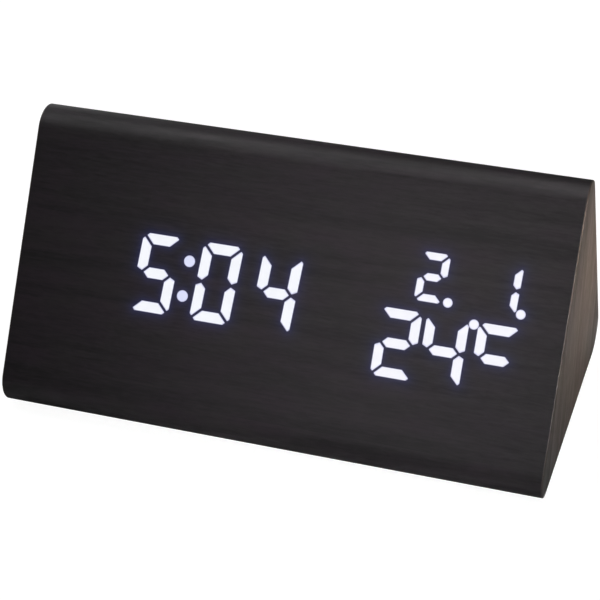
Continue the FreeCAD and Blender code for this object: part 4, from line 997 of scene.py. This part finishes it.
def screw_head(radius, top, tall, countersunk):
    """Points and quads of a screw head with a cross recess sunk in a polar grid.

    The recess is half a radius deep at the middle. Its depth falls to nothing at 0.66 radius along the
    slots, and over their walls across them. A pan head's crown falls with the square of the radius.
    """
    rings = np.concatenate([np.linspace(0, 0.7, 15), [0.85, 0.95, 1.0]]) * radius
    turn = np.arange(64) * 2 * pi / 64
    x, y = rings[:, None] * np.cos(turn), rings[:, None] * np.sin(turn)
    wall, slot_end, slot_slope = 0.13 * radius, 0.66 * radius, 0.2 * radius
    inside = np.minimum(np.abs(x), np.abs(y))
    across = np.clip((wall * 1.3 - inside) / (wall * 0.5), 0, 1)
    along = np.clip((slot_end - np.hypot(x, y)) / slot_slope, 0, 1)
    crown, recess = 0 if countersunk else 0.35 * tall, 0.5 * radius
    z = top - crown * (np.hypot(x, y) / radius) ** 2 - recess * across * along
    face = np.stack([x, y, z], -1)
    edge_radius = 0.55 * radius if countersunk else radius
    skirt = np.stack([edge_radius * np.cos(turn), edge_radius * np.sin(turn), 0 * turn + top - tall], -1)
    pole = np.zeros_like(skirt) + (0, 0, top - tall)
    points = np.concatenate([face, skirt[None], pole[None]])
    return points, grid_faces(len(points), len(turn))


def screw_heads(name, node, face, rise, tall, countersunk=False, sunk=0.0):
    """Cross-recess heads at the two ends of a row of screws, as one piece."""
    low, high = face_box(node, face)
    points, faces = screw_head(SCREW_RADIUS, high[2] - sunk, tall, countersunk)
    places = (low[0] + SCREW_RADIUS, high[0] - SCREW_RADIUS)
    piece = joined(name, [(points + (x, rise, 0), faces) for x in places], face)
    settle(piece, "root", finish("Zinc-plated steel"), "plated_steel", node)


class BaseFittings(bpy.types.Operator):
    """Rubber feet, tray screws, grip ridges on the battery door, cells and springs"""

    bl_idname = "wedge_clock.base_fittings"
    bl_label = "Base Fittings"

    def execute(self, context):
        self.feet()
        low, high = face_box("tray_screws", "base")
        screw_heads(
            "tray_screw_heads", "tray_screws", "base", (low[1] + high[1]) / 2,
            tall=1.0 * MM, countersunk=True, sunk=0.03 * MM,
        )
        self.door_ridges()
        self.cells()
        self.springs()
        return {"FINISHED"}

    @staticmethod
    def feet():
        """Discs with a rounded sole edge, one at each corner of the feet's box."""
        low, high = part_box("rubber_feet")
        radius, edge = 4.0 * MM, 0.45 * MM
        sole = [
            (radius - edge + inwards, edge - edge * sqrt(max(0, 1 - (inwards / edge) ** 2)))
            for inwards in np.linspace(0, edge, 6)
        ]
        points, faces = revolved([(0, 0)] + sole + [(radius, high.z), (0, high.z)], 48)
        discs = [
            (points + (x, y, 0), faces)
            for x in (low.x + radius, high.x - radius)
            for y in (low.y + radius, high.y - radius)
        ]
        piece = joined("stick_on_feet", discs)
        settle(piece, "root", finish("Stick-on rubber"), "rubber", "rubber_feet")

    @staticmethod
    def door_ridges():
        """Five low ridges across the thumb latch: half-round bars with rounded ends."""
        high = face_box("battery_door", "base")[1]
        size_x, size_y, rounding = 7.6 * MM, 0.5 * MM, 0.24 * MM
        sunk, wall, crown = high[2] - 0.1 * MM, high[2] + 0.1 * MM, high[2] + 0.2 * MM
        margin, pitch = 1.6 * MM, 1.1 * MM
        bars = []
        for step in range(5):
            outline = rounded(rectangle(size_x, size_y, (0, high[1] - margin - pitch * step)), rounding, 4)
            bars.append(slab(outline, [(1, sunk), (0, sunk), (0, wall), (0.04, crown), (1, crown)]))
        piece = joined("door_grip_ridges", bars, "base")
        settle(piece, "battery_door", finish("Moulded ABS panel"), "panel_plastic")

    @staticmethod
    def rows(node):
        """(direction, x, y, z) of each cell's row: which way its cap points, and where a node starts.

        Cells 0 and 2, counted from the rear, have their spring at the left and their cap to the right.
        """
        low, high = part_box("battery_cells")
        node_low, node_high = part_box(node)
        pitch = (high.y - low.y - 2 * CELL_RADIUS) / 3
        z = (low.z + high.z) / 2
        rows = []
        for step in range(4):
            along, x = (1, node_low.x) if step % 2 == 0 else (-1, node_high.x)
            rows.append((along, x, high.y - CELL_RADIUS - step * pitch, z))
        return rows

    @staticmethod
    def laid(points, row):
        """Points of an upright shape, laid down along a cell's row."""
        along, x, y, z = row
        return np.stack([x + along * points[..., 2], y + points[..., 1], z + points[..., 0]], -1)

    def cells(self):
        """Four cells: sleeved can with rolled edges, pressed positive cap and bare negative end."""
        roll, lip, edge = 0.5 * MM, 1.0 * MM, 0.95 * MM
        shoulder = CELL_LENGTH - 0.8 * MM
        core = CELL_RADIUS - roll
        turns = np.linspace(0, pi / 2, 5)
        profile = [(0, 0), (CELL_RADIUS - lip, 0), (CELL_RADIUS - 0.9 * MM, 0.25 * MM)]
        profile += [(core + roll * sin(t), roll - roll * cos(t)) for t in turns]
        profile += [(core + roll * cos(t), shoulder - roll + roll * sin(t)) for t in turns]
        profile += [(2.4 * MM, shoulder), (1.9 * MM, shoulder), (1.9 * MM, CELL_LENGTH - 0.2 * MM)]
        profile += [(1.7 * MM, CELL_LENGTH), (0, CELL_LENGTH)]
        points, faces = revolved(profile, 40)
        rows = self.rows("battery_cells")
        piece = joined("dry_cells", [(self.laid(points, row), faces) for row in rows])
        settle(piece, "root", finish("Cell sleeve"), "cell_label", "battery_cells")
        piece.data.materials.append(finish("Nickel-plated contact"))
        middles = np.empty(len(piece.data.polygons) * 3, np.float32)
        piece.data.polygons.foreach_get("center", middles)
        across = middles.reshape(-1, 1, 3)[..., 1:] - np.array([row[2:] for row in rows])
        off_axis = np.linalg.norm(across, axis=2).min(1)
        piece.data.polygons.foreach_set("material_index", (off_axis < CELL_RADIUS - edge).astype(np.int32))

    def springs(self):
        """Conical springs of round wire: a helix whose radius falls from 3.6 mm to 2.2 mm as it rises."""
        room, wire = 4.7 * MM, 0.3 * MM
        wide, taper, turns = 3.6 * MM, 1.4 * MM, 2.5
        turn = np.linspace(0, 2 * pi * turns, 120)
        share = turn / turn[-1]
        coil = wide - taper * share
        path = np.stack([coil * np.cos(turn), coil * np.sin(turn), wire + (room - 2 * wire) * share], -1)
        outward = np.stack([np.cos(turn), np.sin(turn), 0 * turn], -1)[:, None]
        section = np.linspace(0, 2 * pi, 10, endpoint=False)[None, :, None]
        tube = path[:, None] + wire * (np.cos(section) * outward + np.sin(section) * np.array([0, 0, 1.0]))
        ends = [np.broadcast_to(path[end, None, None], tube[:1].shape) for end in (0, -1)]
        tube = np.concatenate([ends[0], tube, ends[1]])
        faces = grid_faces(*tube.shape[:2])
        coils = [(self.laid(tube, row), faces) for row in self.rows("battery_springs")]
        piece = joined("coil_springs", coils)
        settle(piece, "root", finish("Nickel-plated contact"), "plated_steel", "battery_springs")


class CarriedNodes(bpy.types.Operator):
    """Finishes for the CAD parts that keep their own shape"""

    bl_idname = "wedge_clock.carried_nodes"
    bl_label = "Carried-over Parts"

    finishes = {
        "Black fibreboard": ("mdf_sleeve", "left_end_panel", "right_end_panel"),
        "Moulded ABS panel": ("control_panel", "battery_tray", "battery_door"),
        "Black ABS reflector": ("display_reflector",),
        "Milky diffuser, dark": ("unlit_segments",),
        "Green solder mask": ("display_board", "main_board"),
        "Phosphor silicone": ("segment_leds",),
        "Epoxy component": (
            "key_switches", "set_switch_plunger", "down_switch_plunger", "up_switch_plunger",
            "controller_chip", "alarm_buzzer", "temperature_sensor", "power_jack", "ribbon_headers",
        ),
        "Zinc-plated steel": (
            "display_screws", "board_screws", "sound_switch_body", "clock_crystal", "microphone",
        ),
        "Nickel-plated contact": ("contact_plates",),
        "PVC insulation": ("display_ribbon", "battery_leads"),
    }

    def execute(self, context):
        for label, nodes in self.finishes.items():
            for node in nodes:
                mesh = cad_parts[node].data
                mesh.materials.clear()
                mesh.materials.append(finish(label))
        return {"FINISHED"}


class Stage(bpy.types.Operator):
    """Floor, world, four area lamps and the camera"""

    bl_idname = "wedge_clock.stage"
    bl_label = "Stage"

    paper_share = 0.6  # how much of what the camera sees of the floor is its own light
    paper_white = 1.583  # strength of that light, which the floor's lit part brings up to white
    eye = (0.128285, -0.408213, 0.288267)
    right = (0.9526983, 0.3039136, -0.0015786)
    up = (-0.1577035, 0.4987904, 0.8522545)
    lens = 108.92

    def execute(self, context):
        self.floor()
        self.lamps()
        self.camera()
        return {"FINISHED"}

    def floor(self):
        """Plain floor that shows white to the camera and keeps a faint shadow."""
        size = settings().stage.floor_size / 2
        corners = np.array([(-size, -size, 0), (size, -size, 0), (size, size, 0), (-size, size, 0)])
        piece = mesh_piece("floor", corners, np.array([[0, 1, 2, 3]]))
        material, tree, shader = new_material("White studio paper", Roughness=0.9)
        tint = settings().colours.floor
        shader.inputs["Base Color"].default_value = opaque(tint)
        shader.inputs["Specular IOR Level"].default_value = 0.0
        seen = add_node(tree, "ShaderNodeLightPath").outputs["Is Camera Ray"]
        white = add_node(tree, "ShaderNodeEmission", {"Color": (1, 1, 1, 1), "Strength": self.paper_white})
        share = add_node(
            tree, "ShaderNodeMath", {0: seen, 1: self.paper_share}, operation="MULTIPLY"
        ).outputs[0]
        mixed = add_node(tree, "ShaderNodeMixShader", {0: share, 1: shader.outputs[0], 2: white.outputs[0]})
        output = next(node for node in tree.nodes if node.type == "OUTPUT_MATERIAL")
        tree.links.new(mixed.outputs[0], output.inputs["Surface"])
        piece.data.materials.append(material)

    def lamps(self):
        """An even dim world, white to the camera, and four area lamps; a small spread makes a soft pool."""
        sizes = settings().stage
        world = bpy.data.worlds.new("studio")
        bpy.context.scene.world = world
        world.use_nodes = True
        tree = world.node_tree
        background = next(node for node in tree.nodes if node.type == "BACKGROUND")
        background.inputs["Color"].default_value = (1, 1, 1, 1)
        seen = add_node(tree, "ShaderNodeLightPath").outputs["Is Camera Ray"]
        level = band(tree, seen, 0.0, 1.0, sizes.world, 1.0)
        tree.links.new(level, background.inputs["Strength"])
        middle = (0, 0, 0.035)
        # place, point that it is aimed at, edge, spread in degrees, colour, power
        lamps = {
            "overhead_lamp": ((-0.12, -0.06, 0.9), middle, 0.9, 180, "#ffffff", sizes.top_power),
            "side_lamp": ((0.4, 0.0, 0.1), (0.075, 0.018, 0.045), 0.05, 14, "#ffe4ca", sizes.side_power),
            "front_lamp": ((0.45, -0.8, 0.45), (0.022, -0.02, 0.035), 0.12, 8, "#ffffff", sizes.front_power),
            "rear_lamp": ((-0.78, 0.68, 0.14), middle, 0.6, 180, "#ffffff", sizes.rear_power),
        }
        for name, (place, aim, size, spread, tint, power) in lamps.items():
            data = bpy.data.lights.new(name, "AREA")
            data.energy, data.size, data.spread, data.color = power, size, radians(spread), srgb(tint)
            lamp = bpy.data.objects.new(name, data)
            bpy.context.scene.collection.objects.link(lamp)
            lamp.visible_camera = False
            lamp.location = place
            lamp.rotation_euler = (Vector(aim) - lamp.location).to_track_quat("-Z", "Y").to_euler()

    def camera(self):
        """Camera with a 36 mm sensor, placed by its right, up and backward directions."""
        data = bpy.data.cameras.new("view")
        data.lens, data.sensor_width, data.clip_end = self.lens, 36.0, 20.0
        camera = bpy.data.objects.new("view", data)
        bpy.context.scene.collection.objects.link(camera)
        right, up = Vector(self.right).normalized(), Vector(self.up).normalized()
        turn = Matrix((right, up, right.cross(up))).transposed().to_4x4()
        camera.matrix_world = Matrix.Translation(self.eye) @ turn
        bpy.context.scene.camera = camera
        bpy.context.scene.view_settings.view_transform = "Standard"


class ClockPanel(bpy.types.Panel):
    """Lists the clock's sizes, colours and makers"""

    bl_idname = "VIEW3D_PT_wedge_clock"
    bl_label = "Wedge Clock"
    bl_space_type = "VIEW_3D"
    bl_region_type = "UI"
    bl_category = "Clock"

    def draw(self, context):
        clock = context.scene.wedge_clock
        for group in ("case", "time", "date", "warm", "light", "colours", "stage"):
            box = self.layout.box()
            box.label(text=group.title())
            values = getattr(clock, group)
            for name in values.__annotations__:
                box.prop(values, name)
        for operator in OPERATORS:
            self.layout.operator(operator.bl_idname)


OPERATORS = (WrapFilm, EndFilms, DisplayLights, RearControls, BaseFittings, CarriedNodes, Stage)
GROUPS = (
    CaseSizes, TimeDigits, DateDigits, TemperatureDigits, LightSizes, Colours, StageSizes, ClockSettings,
)


def register():
    """Registers the settings, the operators and the panel."""
    for item in GROUPS + OPERATORS + (ClockPanel,):
        bpy.utils.register_class(item)
    bpy.types.Scene.wedge_clock = PointerProperty(type=ClockSettings)


def unregister():
    """Takes them away again."""
    del bpy.types.Scene.wedge_clock
    for item in reversed(GROUPS + OPERATORS + (ClockPanel,)):
        bpy.utils.unregister_class(item)


def main():
    """Makes every piece in order."""
    register()
    bpy.ops.wedge_clock.wrap_film()
    bpy.ops.wedge_clock.end_films()
    bpy.ops.wedge_clock.display_lights()
    bpy.ops.wedge_clock.rear_controls()
    bpy.ops.wedge_clock.base_fittings()
    bpy.ops.wedge_clock.carried_nodes()
    bpy.ops.wedge_clock.stage()


if __name__ == "__main__":
    main()
